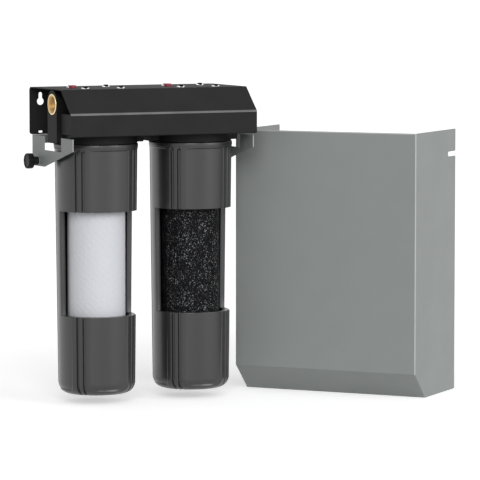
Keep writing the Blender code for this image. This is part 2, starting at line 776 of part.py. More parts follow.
def bowl_profile():
    """The bowl's wall above its own foot: up the inside, over the rim and down the outside."""
    top = NECK_TOP - FOOT
    shoulder = BOWL_HEIGHT - COLLAR_HEIGHT
    bore_foot = BODY_FOOT_RADIUS - BOWL_WALL
    return [
        (0, BOWL_FLOOR + SUPPORT_HEIGHT),
        (SUPPORT_RADIUS, BOWL_FLOOR + SUPPORT_HEIGHT),
        (SUPPORT_RADIUS, BOWL_FLOOR),
        (bore_foot - BOWL_FLOOR, BOWL_FLOOR),
        (bore_foot, BOWL_FLOOR * 2),
        (BODY_TOP_RADIUS - BOWL_WALL, shoulder),
        (NECK_RADIUS - NECK_WALL, BOWL_HEIGHT),
        (NECK_RADIUS - NECK_WALL, top),
        (NECK_RADIUS, top),
        (NECK_RADIUS, BOWL_HEIGHT),
        (COLLAR_RADIUS - COLLAR_EDGE, BOWL_HEIGHT),
        (COLLAR_RADIUS, BOWL_HEIGHT - COLLAR_EDGE),
        (COLLAR_RADIUS, shoulder),
        (BODY_TOP_RADIUS, shoulder - COLLAR_EDGE),
        *arc((BODY_FOOT_RADIUS - FOOT_CORNER, FOOT_CORNER), FOOT_CORNER, 0, -90),
        (0, 0),
    ]


def make_bowl(side_name, side):
    """A tapered bowl with its front half cut away at mid height, and a neck that enters the head."""
    middle = side * HEAD_SPACING / 2
    bowl = turned(f"{side_name}_bowl", bowl_profile(), (middle, AXIS_Y, FOOT))
    low = FOOT + WINDOW_BOTTOM
    reach = COLLAR_RADIUS + OVERRUN
    near, far = (middle - reach, AXIS_Y - reach, low), (middle + reach, AXIS_Y, low + WINDOW_HEIGHT)
    boolean(bowl, block("window", near, far))
    finish(bowl, BOWL_GREY)


def make_seal(side_name, side):
    """The ring between the bowl's rim and the head's socket."""
    centre = NECK_RADIUS - NECK_WALL / 2
    profile = arc((centre, 0), SEAL_RADIUS, 360, 0, RING_STEPS)[:-1]
    place_at = (side * HEAD_SPACING / 2, AXIS_Y, NECK_TOP + SEAL_RADIUS + GAP)
    finish(turned(f"{side_name}_bowl_seal", profile, place_at, PORT_STEPS, closed=True), RUBBER)


def make_cartridge(name, side, colour, cap_colour):
    """A hollow filter element between two end caps."""
    middle = side * HEAD_SPACING / 2
    media = [(MEDIA_RADIUS, MEDIA_LENGTH), (MEDIA_RADIUS, 0), (CORE_RADIUS, 0), (CORE_RADIUS, MEDIA_LENGTH)]
    finish(turned(f"{name}_media", media, (middle, AXIS_Y, MEDIA_BASE), PORT_STEPS, closed=True), colour)
    cap = [(CAP_RADIUS, CAP_THICKNESS), (CAP_RADIUS, 0), (CORE_RADIUS, 0), (CORE_RADIUS, CAP_THICKNESS)]
    for end, level in (("lower", CAP_BASE), ("upper", UPPER_CAP_BASE)):
        finish(turned(f"{name}_{end}_cap", cap, (middle, AXIS_Y, level), PORT_STEPS, closed=True), cap_colour)


def make_knob(side_name, side):
    """A thumb screw: fluted head, stem and a stud through the arm into the nut."""
    washer = KNOB_WASHER_THICKNESS + GAP * 2
    stem_end = ARM_OUTER + washer
    head_start = stem_end + KNOB_STEM_LENGTH
    head_end = head_start + KNOB_HEAD_LENGTH
    stud_end = ARM_OUTER - ARM_SHEET - NUT_HEIGHT - STUD_PAST_NUT
    profile = [
        (0, head_end),
        (KNOB_RADIUS - KNOB_EDGE, head_end),
        (KNOB_RADIUS, head_end - KNOB_EDGE),
        (KNOB_RADIUS, head_start + KNOB_EDGE),
        (KNOB_RADIUS - KNOB_EDGE, head_start),
        (KNOB_STEM_RADIUS, head_start),
        (KNOB_STEM_RADIUS, stem_end),
        (STUD_RADIUS, stem_end),
        (STUD_RADIUS, stud_end),
        (0, stud_end),
    ]
    knob = turned(f"{side_name}_knob", profile, steps=PORT_STEPS)
    knob.rotation_euler = (0, side * math.radians(90), 0)
    knob = frozen(place(knob, (0, KNOB_Y, KNOB_Z)))
    flutes = []
    length = KNOB_HEAD_LENGTH + OVERRUN
    for step in range(KNOB_FLUTES):
        turn = math.tau * step / KNOB_FLUTES
        centre = (
            side * (head_start + head_end) / 2,
            KNOB_Y + KNOB_RADIUS * math.cos(turn),
            KNOB_Z + KNOB_RADIUS * math.sin(turn),
        )
        flutes.append(frozen(rod("flute", centre, (1, 0, 0), KNOB_FLUTE_RADIUS, length, RING_STEPS)))
    boolean(knob, joined("flutes", flutes))
    finish(knob, BLACK_PLASTIC)


def make_clamp(side_name, side):
    """The washer that presses the cover on the arm, and the nut behind the arm."""
    washer_x = side * (ARM_OUTER + GAP + KNOB_WASHER_THICKNESS / 2)
    bore = STUD_RADIUS + TURN_GAP
    name = f"{side_name}_knob_washer"
    washer = ring(name, washer_x, KNOB_Z, KNOB_STEM_RADIUS, bore, KNOB_WASHER_THICKNESS, SMALL_STEPS)
    finish(place(washer, (washer_x, KNOB_Y, KNOB_Z)), ZINC)
    nut_x = side * (ARM_OUTER - ARM_SHEET - GAP - NUT_HEIGHT / 2)
    nut = rod(f"{side_name}_weld_nut", (nut_x, KNOB_Y, KNOB_Z), (1, 0, 0), NUT_RADIUS, NUT_HEIGHT, 6)
    boolean(nut, rod("nut_bore", (nut_x, KNOB_Y, KNOB_Z), (1, 0, 0), bore, NUT_HEIGHT * 2))
    finish(nut, ZINC)


def cover_side_outline():
    """The cover's side from the front, back and up, with the slot open at the back."""
    slot = COVER_HEIGHT - COVER_SLOT_BELOW_TOP
    half = COVER_SLOT_WIDTH / 2
    end = COVER_DEPTH - COVER_SLOT_DEPTH + half
    return [
        (0, COVER_BEVEL_RISE),
        (COVER_BEVEL_RUN, 0),
        (COVER_DEPTH, 0),
        (COVER_DEPTH, slot - half),
        *arc((end, slot), half, 270, 90),
        (COVER_DEPTH, slot + half),
        (COVER_DEPTH, COVER_HEIGHT),
        (0, COVER_HEIGHT),
    ]


def make_cover():
    """An open folded sheet: front, two sides and the slope at its foot, thickened inwards."""
    shape = bmesh.new()
    sides = []
    for x in (0, COVER_WIDTH):
        sides.append([shape.verts.new((x, back, up)) for back, up in cover_side_outline()])
    left, right = sides
    shape.faces.new(reversed(left))
    shape.faces.new(right)
    shape.faces.new((left[-1], left[0], right[0], right[-1]))
    shape.faces.new((left[0], left[1], right[1], right[0]))
    bmesh.ops.recalc_face_normals(shape, faces=shape.faces)
    mesh = bpy.data.meshes.new("cover")
    shape.to_mesh(mesh)
    shape.free()
    cover = mesh_object("cover", mesh)
    thicken = cover.modifiers.new("Sheet", "SOLIDIFY")
    thicken.solidify_mode = "NON_MANIFOLD"
    thicken.nonmanifold_thickness_mode = "CONSTRAINTS"
    thicken.nonmanifold_merge_threshold = MERGE
    thicken.thickness = COVER_SHEET
    thicken.offset = -1
    cover.rotation_euler = (0, 0, -COVER_TURN)
    corner = (END + COVER_PAST_END, -COVER_CORNER_FORWARD, FOOT - COVER_BELOW_BOWLS)
    finish(place(cover, corner), COVER_GREY)


def main():
    make_wall_plate()
    make_hood()
    make_rivets()
    make_cover_bracket()
    make_inserts()
    for side_name, side in SIDES.items():
        make_end_panel(side_name, side)
        make_head(side_name, side)
        make_head_screws(side_name, side)
        make_button(side_name, side)
        make_bowl(side_name, side)
        make_seal(side_name, side)
        make_knob(side_name, side)
        make_clamp(side_name, side)
    make_cartridge("sediment", SIDES["left"], WHITE_MEDIA, CAP_WHITE)
    make_cartridge("carbon", SIDES["right"], CARBON, BLACK_PLASTIC)
    make_cover()


clear_scene()
PARTS = new_collection("whole_house_water_filter")
CUTTERS = new_collection("cutters")
main()
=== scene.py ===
"""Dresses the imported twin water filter: hood, heads, bowls, cartridges, fittings and the loose cover.

Row frame, metres. The origin is the middle of the wall plate's back face; the room is on the -Y side.
"""

from __future__ import annotations

import logging
import math
from collections.abc import Callable, Sequence
from dataclasses import dataclass, field
from enum import Enum
from typing import Any

import bmesh
import bpy
import numpy as np
from mathutils import Matrix, Vector


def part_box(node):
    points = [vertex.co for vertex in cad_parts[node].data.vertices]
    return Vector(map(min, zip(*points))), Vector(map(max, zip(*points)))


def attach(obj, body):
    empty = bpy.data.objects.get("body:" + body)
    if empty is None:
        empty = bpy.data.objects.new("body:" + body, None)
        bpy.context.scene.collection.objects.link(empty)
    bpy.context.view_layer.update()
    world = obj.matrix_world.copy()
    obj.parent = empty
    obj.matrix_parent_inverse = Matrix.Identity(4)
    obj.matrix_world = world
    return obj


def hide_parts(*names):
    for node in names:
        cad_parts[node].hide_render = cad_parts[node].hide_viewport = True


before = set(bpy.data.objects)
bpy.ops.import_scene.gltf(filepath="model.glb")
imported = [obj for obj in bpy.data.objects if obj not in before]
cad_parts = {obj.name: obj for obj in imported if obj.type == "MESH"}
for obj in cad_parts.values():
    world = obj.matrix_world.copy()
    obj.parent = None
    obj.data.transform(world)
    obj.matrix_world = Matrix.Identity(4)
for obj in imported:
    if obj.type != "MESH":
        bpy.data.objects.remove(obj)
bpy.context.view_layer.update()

LOG = logging.getLogger("water_filter")
MM = 0.001
# Points nearer than this are one, in a mesh made here and in a CAD mesh.
WELD = 1e-6
CAD_WELD = 1e-5
# Faces that meet at less than this are one flat face.
FLAT_DEG = 1.0
# Where a cloudy pattern is all shade, and where it is all colour.
CLOUD_LIMITS = (0.3, 0.7)
MATH = "ShaderNodeMath"
MAPPING = "ShaderNodeMapping"
Z_AXIS = Vector((0, 0, 1))

# A profile is (radius, height); a change takes radius, height and turn and gives the radius there.
Profile = Sequence[tuple[float, float]]
Change = Callable[[float, float, float], float]
# A ring has its level before relief, then its radius and height, as numbers or as one value for each turn.
Ring = tuple[float, Any, Any]


class Slot(Enum):
    """The record's material slots."""

    BLACK_STEEL = "black_steel"
    GREY_STEEL = "grey_steel"
    COVER_GREY = "cover_grey"
    BLACK_PLASTIC = "black_plastic"
    BOWL_GREY = "bowl_grey"
    BRASS = "brass"
    ZINC = "zinc"
    RED_PLASTIC = "red_plastic"
    RUBBER = "rubber"
    WHITE_MEDIA = "white_media"
    WHITE_PLASTIC = "white_plastic"
    CARBON = "carbon"


class Side(Enum):
    """The two ends of the bracket, as seen from the room, with the sign of X there."""

    LEFT = -1
    RIGHT = 1

    @property
    def word(self) -> str:
        """The side's name as the nodes carry it."""
        return self.name.lower()

    @property
    def outward(self) -> Vector:
        """The way out of the filter at this side."""
        return Vector((self.value, 0, 0))


def linear(code: str) -> tuple[float, float, float, float]:
    """Turns an sRGB hex colour to linear.

    Args:
        code: Six hex digits after a hash.

    Returns:
        Linear red, green, blue and an alpha of one.
    """
    parts = [int(code[at : at + 2], 16) / 255 for at in (1, 3, 5)]
    red, green, blue = (p / 12.92 if p <= 0.04045 else ((p + 0.055) / 1.055) ** 2.4 for p in parts)
    return red, green, blue, 1.0


def add_node(
    tree: bpy.types.NodeTree, kind: str, inputs: dict[Any, Any] | None = None, **settings: Any
) -> Any:
    """Adds a node with its settings, and links or sets its inputs.

    Args:
        tree: The tree that gets the node.
        kind: Blender's name for the node.
        inputs: Input name or number to a value, or to an output socket to link.
        **settings: Properties set on the node itself.

    Returns:
        The new node.
    """
    node = tree.nodes.new(kind)
    for name, value in settings.items():
        setattr(node, name, value)
    for key, value in (inputs or {}).items():
        if isinstance(value, bpy.types.NodeSocket):
            tree.links.new(value, node.inputs[key])
        else:
            node.inputs[key].default_value = value
    return node


# Finishes


class Skin:
    """One material while its finish paints it."""

    def __init__(self, finish: Finish) -> None:
        """Starts the material with a plain shader.

        Args:
            finish: The finish that it shows.
        """
        self.finish = finish
        self.material = bpy.data.materials.new(finish.name)
        self.material.use_nodes = True
        self.tree = self.material.node_tree
        self.shader = self.tree.nodes["Principled BSDF"]
        self.shader.inputs["Roughness"].default_value = finish.roughness
        self.shader.inputs["Specular IOR Level"].default_value = finish.gloss
        self.where = self.add("ShaderNodeTexCoord")["Object"]

    def add(self, kind: str, inputs: dict[Any, Any] | None = None, **settings: Any) -> Any:
        """Adds a node to the material, and gives its outputs."""
        return add_node(self.tree, kind, inputs, **settings).outputs

    def pattern(self, size_mm: float, kind: str = "ShaderNodeTexNoise", **inputs: Any) -> Any:
        """Adds a pattern whose grain has a real size.

        Args:
            size_mm: The size of the grain in millimetres.
            kind: The pattern's kind of node.
            **inputs: Its other inputs, such as a turned Vector.

        Returns:
            The outputs of the pattern.
        """
        return self.add(kind, {"Vector": self.where, "Scale": 1 / (size_mm * MM), **inputs})

    def clouded(self, factor: Any, spread: float) -> None:
        """Mixes the colour with its shade and moves the roughness by one pattern.

        Args:
            factor: The pattern, from nought to one.
            spread: How far the roughness moves to either side.
        """
        ramp = add_node(self.tree, "ShaderNodeValToRGB", {"Fac": factor})
        colours = (self.finish.shade, self.finish.colour)
        for stop, at, code in zip(ramp.color_ramp.elements, CLOUD_LIMITS, colours):
            stop.position = at
            stop.color = linear(code)
        self.tree.links.new(ramp.outputs["Color"], self.shader.inputs["Base Color"])
        rough = self.finish.roughness
        limits = {"Value": factor, "To Min": rough + spread, "To Max": rough - spread}
        self.tree.links.new(self.add("ShaderNodeMapRange", limits)["Result"], self.shader.inputs["Roughness"])

    def embossed(self, height: Any, depth_mm: float) -> None:
        """Raises the surface by a pattern.

        Args:
            height: The pattern, from nought to one.
            depth_mm: The height of the relief in millimetres.
        """
        bump = self.add("ShaderNodeBump", {"Height": height, "Distance": depth_mm * MM})
        self.tree.links.new(bump["Normal"], self.shader.inputs["Normal"])


@dataclass(frozen=True)
class Finish:
    """What a surface is made of. Subclasses say how it is painted."""

    name: str
    slot: Slot
    colour: str
    shade: str
    roughness: float
    gloss: float = 0.5

    def material(self) -> bpy.types.Material:
        """Makes the material once, and finds it again after that.

        Returns:
            The material.
        """
        found = bpy.data.materials.get(self.name)
        if found:
            return found
        skin = Skin(self)
        self.paint(skin)
        return skin.material

    def paint(self, skin: Skin) -> None:
        """Stands for the patterns that each subclass paints."""
        raise NotImplementedError


@dataclass(frozen=True)
class PowderCoat(Finish):
    """Polyester powder paint baked on steel: an even satin film with fine orange peel."""

    cloud_mm: float = 70.0
    # Peel is drawn about twice as coarse as the real 0.7 mm, so that it shows.
    peel_mm: float = 1.4
    depth_mm: float = 0.05
    spread: float = 0.05

    def paint(self, skin: Skin) -> None:
        """Lays an uneven film in the large and orange peel in the small.

        Args:
            skin: The material that is painted.
        """
        skin.clouded(skin.pattern(self.cloud_mm, Detail=3.0)["Fac"], self.spread)
        skin.embossed(skin.pattern(self.peel_mm, Detail=1.0)["Fac"], self.depth_mm)


@dataclass(frozen=True)
class MouldedPlastic(Finish):
    """Injection-moulded plastic: satin, spark-eroded grain, and faint flow lines along the pull."""

    grain_mm: float = 0.8
    depth_mm: float = 0.03
    flow_mm: float = 26.0
    flow_squeeze: float = 0.12
    spread: float = 0.05

    def paint(self, skin: Skin) -> None:
        """Draws long flow lines for colour and fine grain for relief.

        Args:
            skin: The material that is painted.
        """
        along = skin.add(MAPPING, {"Vector": skin.where, "Scale": (1.0, 1.0, self.flow_squeeze)})["Vector"]
        skin.clouded(skin.pattern(self.flow_mm, Vector=along, Detail=4.0)["Fac"], self.spread)
        skin.embossed(skin.pattern(self.grain_mm, Detail=2.0)["Fac"], self.depth_mm)


@dataclass(frozen=True)
class TurnedMetal(Finish):
    """Metal cut on a lathe or plated: bright, with tool marks round the X axis."""

    tarnish_mm: float = 9.0
    spread: float = 0.08
    mark_mm: float = 0.5
    mark_squeeze: float = 0.06
    depth_mm: float = 0.03

    def paint(self, skin: Skin) -> None:
        """Draws tarnish in the large and tool marks across X in the small.

        Args:
            skin: The material that is painted.
        """
        skin.shader.inputs["Metallic"].default_value = 1.0
        skin.clouded(skin.pattern(self.tarnish_mm, Detail=5.0)["Fac"], self.spread)
        squeeze = (1.0, self.mark_squeeze, self.mark_squeeze)
        around = skin.add(MAPPING, {"Vector": skin.where, "Scale": squeeze})["Vector"]
        skin.embossed(skin.pattern(self.mark_mm, Vector=around, Detail=2.0)["Fac"], self.depth_mm)


@dataclass(frozen=True)
class Rubber(Finish):
    """Nitrile rubber: matt, with a bloom in patches."""

    bloom_mm: float = 6.0
    depth_mm: float = 0.04
    spread: float = 0.1

    def paint(self, skin: Skin) -> None:
        """Draws a bloom of dust and a moulded skin.

        Args:
            skin: The material that is painted.
        """
        bloom = skin.pattern(self.bloom_mm, Detail=6.0)["Fac"]
        skin.clouded(bloom, self.spread)
        skin.embossed(bloom, self.depth_mm)


@dataclass(frozen=True)
class SpunFibre(Finish):
    """Melt-blown polypropylene: white, matt fibres laid across each other."""

    # Fibres are 0.02 mm in the real one; strands of 1.2 mm are drawn, as felted bundles show.
    strand_mm: float = 1.2
    lean_deg: float = 30.0
    drawn_out: tuple[float, float, float] = (0.14, 0.5, 1.0)
    depth_mm: float = 0.18
    spread: float = 0.03

    def paint(self, skin: Skin) -> None:
        """Draws two layers of strands that lean opposite ways.

        Args:
            skin: The material that is painted.
        """
        layers = []
        for lean in (-self.lean_deg, self.lean_deg):
            turn = {"Vector": skin.where, "Rotation": (0.0, math.radians(lean), 0.0), "Scale": self.drawn_out}
            leaning = skin.add(MAPPING, turn)["Vector"]
            layers.append(skin.pattern(self.strand_mm, Vector=leaning, Detail=3.0)["Fac"])
        both = skin.add(MATH, dict(enumerate(layers)), operation="MAXIMUM")["Value"]
        skin.clouded(both, self.spread)
        skin.embossed(both, self.depth_mm)


@dataclass(frozen=True)
class CarbonGrain(Finish):
    """Pressed activated carbon under a thin net: soot black, with grains painted pale as glints."""

    # The pale grains are painted highlights in the base colour.
    glint: str = "#a8aaac"
    grain_mm: float = 3.0
    finer: float = 1.9
    # Each size of grain: how much of it glints, and how rare the glinting ones are.
    coarse_glint: tuple[float, float] = (0.36, 0.68)
    fine_glint: tuple[float, float] = (0.34, 0.62)
    patch_mm: float = 22.0
    patch_limits: tuple[float, float] = (0.3, 0.62)
    depth_mm: float = 0.5

    def glints(self, skin: Skin, cells: Any, size: float, rarity: float) -> Any:
        """Picks the grains of one size that are painted pale as glints.

        Args:
            skin: The material that is painted.
            cells: The outputs of the grains' pattern.
            size: How much of a grain glints, from its middle.
            rarity: The share of the grains that stay black.

        Returns:
            How bright each point glints.
        """
        near = skin.add(MATH, {0: cells["Distance"], 1: size}, operation="LESS_THAN")[0]
        chance = skin.add("ShaderNodeSeparateColor", {"Color": cells["Color"]})
        rare = skin.add(MATH, {0: chance["Red"], 1: rarity}, operation="GREATER_THAN")[0]
        bright = skin.add(MATH, {0: rare, 1: chance["Green"]}, operation="MULTIPLY")[0]
        return skin.add(MATH, {0: near, 1: bright}, operation="MULTIPLY")[0]

    def paint(self, skin: Skin) -> None:
        """Draws grains with their own relief, of which a few are painted pale as glints, in patches.

        Args:
            skin: The material that is painted.
        """
        coarse = skin.pattern(self.grain_mm, "ShaderNodeTexVoronoi")
        fine = skin.pattern(self.grain_mm / self.finer, "ShaderNodeTexVoronoi")
        large = self.glints(skin, coarse, *self.coarse_glint)
        small = self.glints(skin, fine, *self.fine_glint)
        either = skin.add(MATH, {0: large, 1: small}, operation="MAXIMUM")[0]
        low, high = self.patch_limits
        limits = {"Value": skin.pattern(self.patch_mm, Detail=2.0)["Fac"], "From Min": low, "From Max": high}
        patches = skin.add("ShaderNodeMapRange", limits)["Result"]
        factor = skin.add(MATH, {0: either, 1: patches}, operation="MULTIPLY")[0]
        # The Mix node's inputs 6 and 7 and its output 2 are the ones for colour.
        colours = {"Factor": factor, 6: linear(self.colour), 7: linear(self.glint)}
        mixed = skin.add("ShaderNodeMix", colours, data_type="RGBA")[2]
        skin.tree.links.new(mixed, skin.shader.inputs["Base Color"])
        skin.embossed(coarse["Distance"], self.depth_mm)


class Finishes:
    """Every finish of the filter, each with what it gives the eye."""

    # A dull black film that keeps only a faint sheen.
    HOOD = PowderCoat("black powder coat", Slot.BLACK_STEEL, "#232323", "#1f1f1f", 0.68, 0.16)
    # The same film painted paler along the hood's front fold and on its cut edges that face the room: a
    # painted highlight, a grey line along the bend.
    HOOD_FOLD = PowderCoat("worn black powder coat", Slot.BLACK_STEEL, "#6e6e6e", "#5c5c5c", 0.5, 0.3)
    # A cool mid grey with a soft sheen.
    BRACKET = PowderCoat("grey powder coat", Slot.GREY_STEEL, "#7b7f7e", "#777b7a", 0.5)
    # Paler on the cut edges that face the room: a painted highlight, as pale lines where they catch the
    # light.
    BRACKET_EDGE = PowderCoat("thin grey powder coat", Slot.GREY_STEEL, "#a3a7a6", "#9a9e9d", 0.5)
    # The same cool grey, a little lighter and smoother over the large sheet.
    COVER = PowderCoat("cover powder coat", Slot.COVER_GREY, "#8a8e8d", "#888c8b", 0.5, 0.4, peel_mm=1.1)
    # Paler on the top band of the cover's front and on its right front bend: a painted highlight as a pale
    # line.
    COVER_EDGE = PowderCoat("thin cover powder coat", Slot.COVER_GREY, "#b4b8b7", "#abafae", 0.5)
    # Near black and dry, as fibres break the surface's gloss.
    HEAD = MouldedPlastic("black glass-filled nylon", Slot.BLACK_PLASTIC, "#121213", "#0f0f10", 0.6, 0.16)
    # Near black with a low sheen on the flutes.
    KNOB = MouldedPlastic("black knob plastic", Slot.BLACK_PLASTIC, "#131314", "#101011", 0.5, 0.25)
    # Charcoal with long soft highlights down the round wall.
    BOWL = MouldedPlastic("charcoal polypropylene", Slot.BOWL_GREY, "#2b2b2b", "#282828", 0.3, 0.62)
    # Warm yellow, slightly dull in the thread.
    BRASS = TurnedMetal("machined brass", Slot.BRASS, "#cba873", "#b3915d", 0.33)
    # A pale gold ring round the port.
    BRASS_RIM = TurnedMetal("polished brass rim", Slot.BRASS, "#f0dcb0", "#e6cf9e", 0.25)
    # Pale blue-grey metal.
    ZINC = TurnedMetal("bright zinc plate", Slot.ZINC, "#bfc2c5", "#a9adb1", 0.35)
    # Near-white metal for the tab washers beside the screws: painted glints that stand in for the shine on
    # the screw heads.
    NICKEL = TurnedMetal("bright nickel plate", Slot.ZINC, "#f6f6f6", "#ececed", 0.3)
    # Dark metal that shows only its edges.
    SCREW = TurnedMetal("black oxide steel", Slot.BLACK_STEEL, "#232324", "#1a1a1b", 0.5)
    # Deep crimson with a small bright highlight.
    RED = MouldedPlastic("crimson acetal", Slot.RED_PLASTIC, "#8f1436", "#84112f", 0.32)
    # Flat black with a greyer bloom.
    RUBBER = Rubber("nitrile rubber", Slot.RUBBER, "#1d1d1e", "#262627", 0.7)
    # Soft white with a faint crossed texture.
    FIBRE = SpunFibre("melt-blown fibre", Slot.WHITE_MEDIA, "#cfd0d4", "#c3c6cc", 0.9)
    # Plain soft white.
    CAP_WHITE = MouldedPlastic("white polypropylene", Slot.WHITE_PLASTIC, "#cfd0d2", "#c6c7ca", 0.5)
    # Soot black with grains painted pale as glints, in patches.
    CARBON = CarbonGrain("granular carbon", Slot.CARBON, "#08080a", "#08080a", 0.7, 0.1)


# Mesh making


def linked(name: str, data: Any) -> bpy.types.Object:
    """Puts a mesh, light or camera in the scene as an object at the origin.

    Args:
        name: The object's name.
        data: What it holds.

    Returns:
        The object.
    """
    obj = bpy.data.objects.new(name, data)
    bpy.context.scene.collection.objects.link(obj)
    return obj


def from_shape(name: str, shape: bmesh.types.BMesh, *finishes: Finish) -> bpy.types.Object:
    """Makes an object of a finished shape, which is freed.

    Args:
        name: The object's name.
        shape: The shape.
        *finishes: The finishes that its faces count from.

    Returns:
        The object.
    """
    mesh = bpy.data.meshes.new(name)
    shape.to_mesh(mesh)
    shape.free()
    for finish in finishes:
        mesh.materials.append(finish.material())
    return linked(name, mesh)


def applied(obj: bpy.types.Object) -> bpy.types.Object:
    """Turns an object's live modifiers into a plain mesh.

    Args:
        obj: The object.

    Returns:
        The same object.
    """
    bpy.context.view_layer.update()
    obj.data = bpy.data.meshes.new_from_object(obj.evaluated_get(bpy.context.evaluated_depsgraph_get()))
    obj.modifiers.clear()
    return obj


def settled(obj: bpy.types.Object, sharp_deg: float = 35.0) -> bpy.types.Object:
    """Applies an object's modifiers and smooths its round faces.

    Args:
        obj: The object, with its modifiers still live.
        sharp_deg: The angle above which an edge stays sharp.

    Returns:
        The same object, with a plain mesh.
    """
    applied(obj).data.shade_smooth()
    obj.data.set_sharp_from_angle(angle=math.radians(sharp_deg))
    return obj


def flats_kept(obj: bpy.types.Object) -> bpy.types.Object:
    """Turns the normals round a flat face to that face, so that only its bends are shaded round.

    Args:
        obj: The object, with a plain mesh.

    Returns:
        The same object.
    """
    obj.modifiers.new("Flats", "WEIGHTED_NORMAL").keep_sharp = True
    return applied(obj)


def edges_softened(obj: bpy.types.Object, width: float, above_deg: float = 40.0) -> None:
    """Adds a small bevel on every edge that bends more than an angle.

    Args:
        obj: The object that gets the modifier.
        width: The bevel's width.
        above_deg: The angle.
    """
    bevel = obj.modifiers.new("Rim", "BEVEL")
    bevel.width = width
    bevel.segments = 2
    bevel.limit_method = "ANGLE"
    bevel.angle_limit = math.radians(above_deg)
    bevel.use_clamp_overlap = True


def shown(obj: bpy.types.Object, finish: Finish, body: str, *replaced: str) -> bpy.types.Object:
    """Gives a finished piece its finish, its body and the nodes it stands for.

    Args:
        obj: The piece, with a plain mesh.
        finish: Its finish.
        body: The body it rides on.
        *replaced: The nodes it replaces.

    Returns:
        The piece.
    """
    if not obj.data.materials:
        obj.data.materials.append(finish.material())
    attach(obj, body)
    if replaced:
        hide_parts(*replaced)
    LOG.info("%s: %d faces, on %s", obj.name, len(obj.data.polygons), body)
    return obj


class MeshMaker:
    """Collects rows of points and the faces between them."""

    def __init__(self) -> None:
        """Starts with nothing."""
        self.points: list[Sequence[float]] = []
        self.faces: list[list[int]] = []

    def rows(self, grid: np.ndarray, keep: Callable[[int, int], bool] | None = None) -> np.ndarray:
        """Adds a grid of points whose rows close on themselves.

        Args:
            grid: Points by row, by column, by axis.
            keep: Says for a row and a column if the face after both is made.

        Returns:
            The points' numbers by row and column.
        """
        count, across = grid.shape[:2]
        numbers = np.arange(count * across).reshape(count, across) + len(self.points)
        self.points.extend(grid.reshape(-1, 3).tolist())
        for row, column in np.ndindex(count - 1, across):
            if keep is None or keep(row, column):
                after = (column + 1) % across
                corners = ((row, column), (row + 1, column), (row + 1, after), (row, after))
                self.faces.append([int(numbers[corner]) for corner in corners])
        return numbers

    def bridge(self, first: Sequence[int], second: Sequence[int], closed: bool = False) -> None:
        """Adds the faces between two lines of points.

        Args:
            first: The points' numbers along one line.
            second: The points' numbers along the other.
            closed: Says if the lines close on themselves.
        """
        count = len(first)
        for at in range(count if closed else count - 1):
            after = (at + 1) % count
            self.faces.append([int(n) for n in (first[at], second[at], second[after], first[after])])

    def build(self, name: str) -> bpy.types.Object:
        """Welds the points, turns the faces outwards and makes the object.

        Args:
            name: The object's name.

        Returns:
            The object.
        """
        loose = bpy.data.meshes.new(f"{name} points")
        loose.from_pydata(self.points, [], self.faces)
        shape = bmesh.new()
        shape.from_mesh(loose)
        bpy.data.meshes.remove(loose)
        bmesh.ops.remove_doubles(shape, verts=shape.verts, dist=WELD)
        bmesh.ops.dissolve_degenerate(shape, edges=shape.edges, dist=WELD)
        bmesh.ops.recalc_face_normals(shape, faces=shape.faces)
        return from_shape(name, shape)


@dataclass
class Lathe:
    """Turns a profile round an axis, with an optional change of radius round it."""

    centre: Vector
    axis: Vector
    steps: int = 64

    def points(self, profile: Profile, change: Change | None = None) -> np.ndarray:
        """Makes the rings of a profile.

        Args:
            profile: Radius and height along the axis, in metres.
            change: The change of radius.

        Returns:
            Points by ring, by step, by axis.
        """
        turn = Z_AXIS.rotation_difference(self.axis).to_matrix()
        across, up, along = (np.array(column) for column in turn.col)
        rings = []
        for radius, height in profile:
            ring = []
            for angle in (math.tau * step / self.steps for step in range(self.steps)):
                here = change(radius, height, angle) if change else radius
                out = across * here * math.cos(angle) + up * here * math.sin(angle)
                ring.append(np.array(self.centre) + out + along * height)
            rings.append(ring)
        return np.array(rings)

    def solid(
        self, name: str, profile: Profile, change: Change | None = None, ring: bool = False
    ) -> bpy.types.Object:
        """Makes the turned solid.

        Args:
            name: The object's name.
            profile: Radius and height along the axis, in metres.
            change: The change of radius.
            ring: Says if the profile closes on itself; it ends on the axis if not.

        Returns:
            The object.
        """
        maker = MeshMaker()
        numbers = maker.rows(self.points(profile, change))
        if ring:
            maker.bridge(numbers[-1], numbers[0], closed=True)
        return maker.build(name)


def rounded(
    centre: tuple[float, float], radius: float, start: float, end: float, count: int
) -> list[tuple[float, float]]:
    """Makes a round stretch of a profile.

    Args:
        centre: The middle of the round.
        radius: Its radius.
        start: Where it starts, in degrees.
        end: Where it ends, in degrees.
        count: How many points it has.

    Returns:
        The points.
    """
    turns = np.radians(np.linspace(start, end, count))
    return [(centre[0] + radius * math.cos(t), centre[1] + radius * math.sin(t)) for t in turns]


def middle_of(node: str) -> Vector:
    """The middle of a CAD node's box."""
    low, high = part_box(node)
    return (low + high) / 2


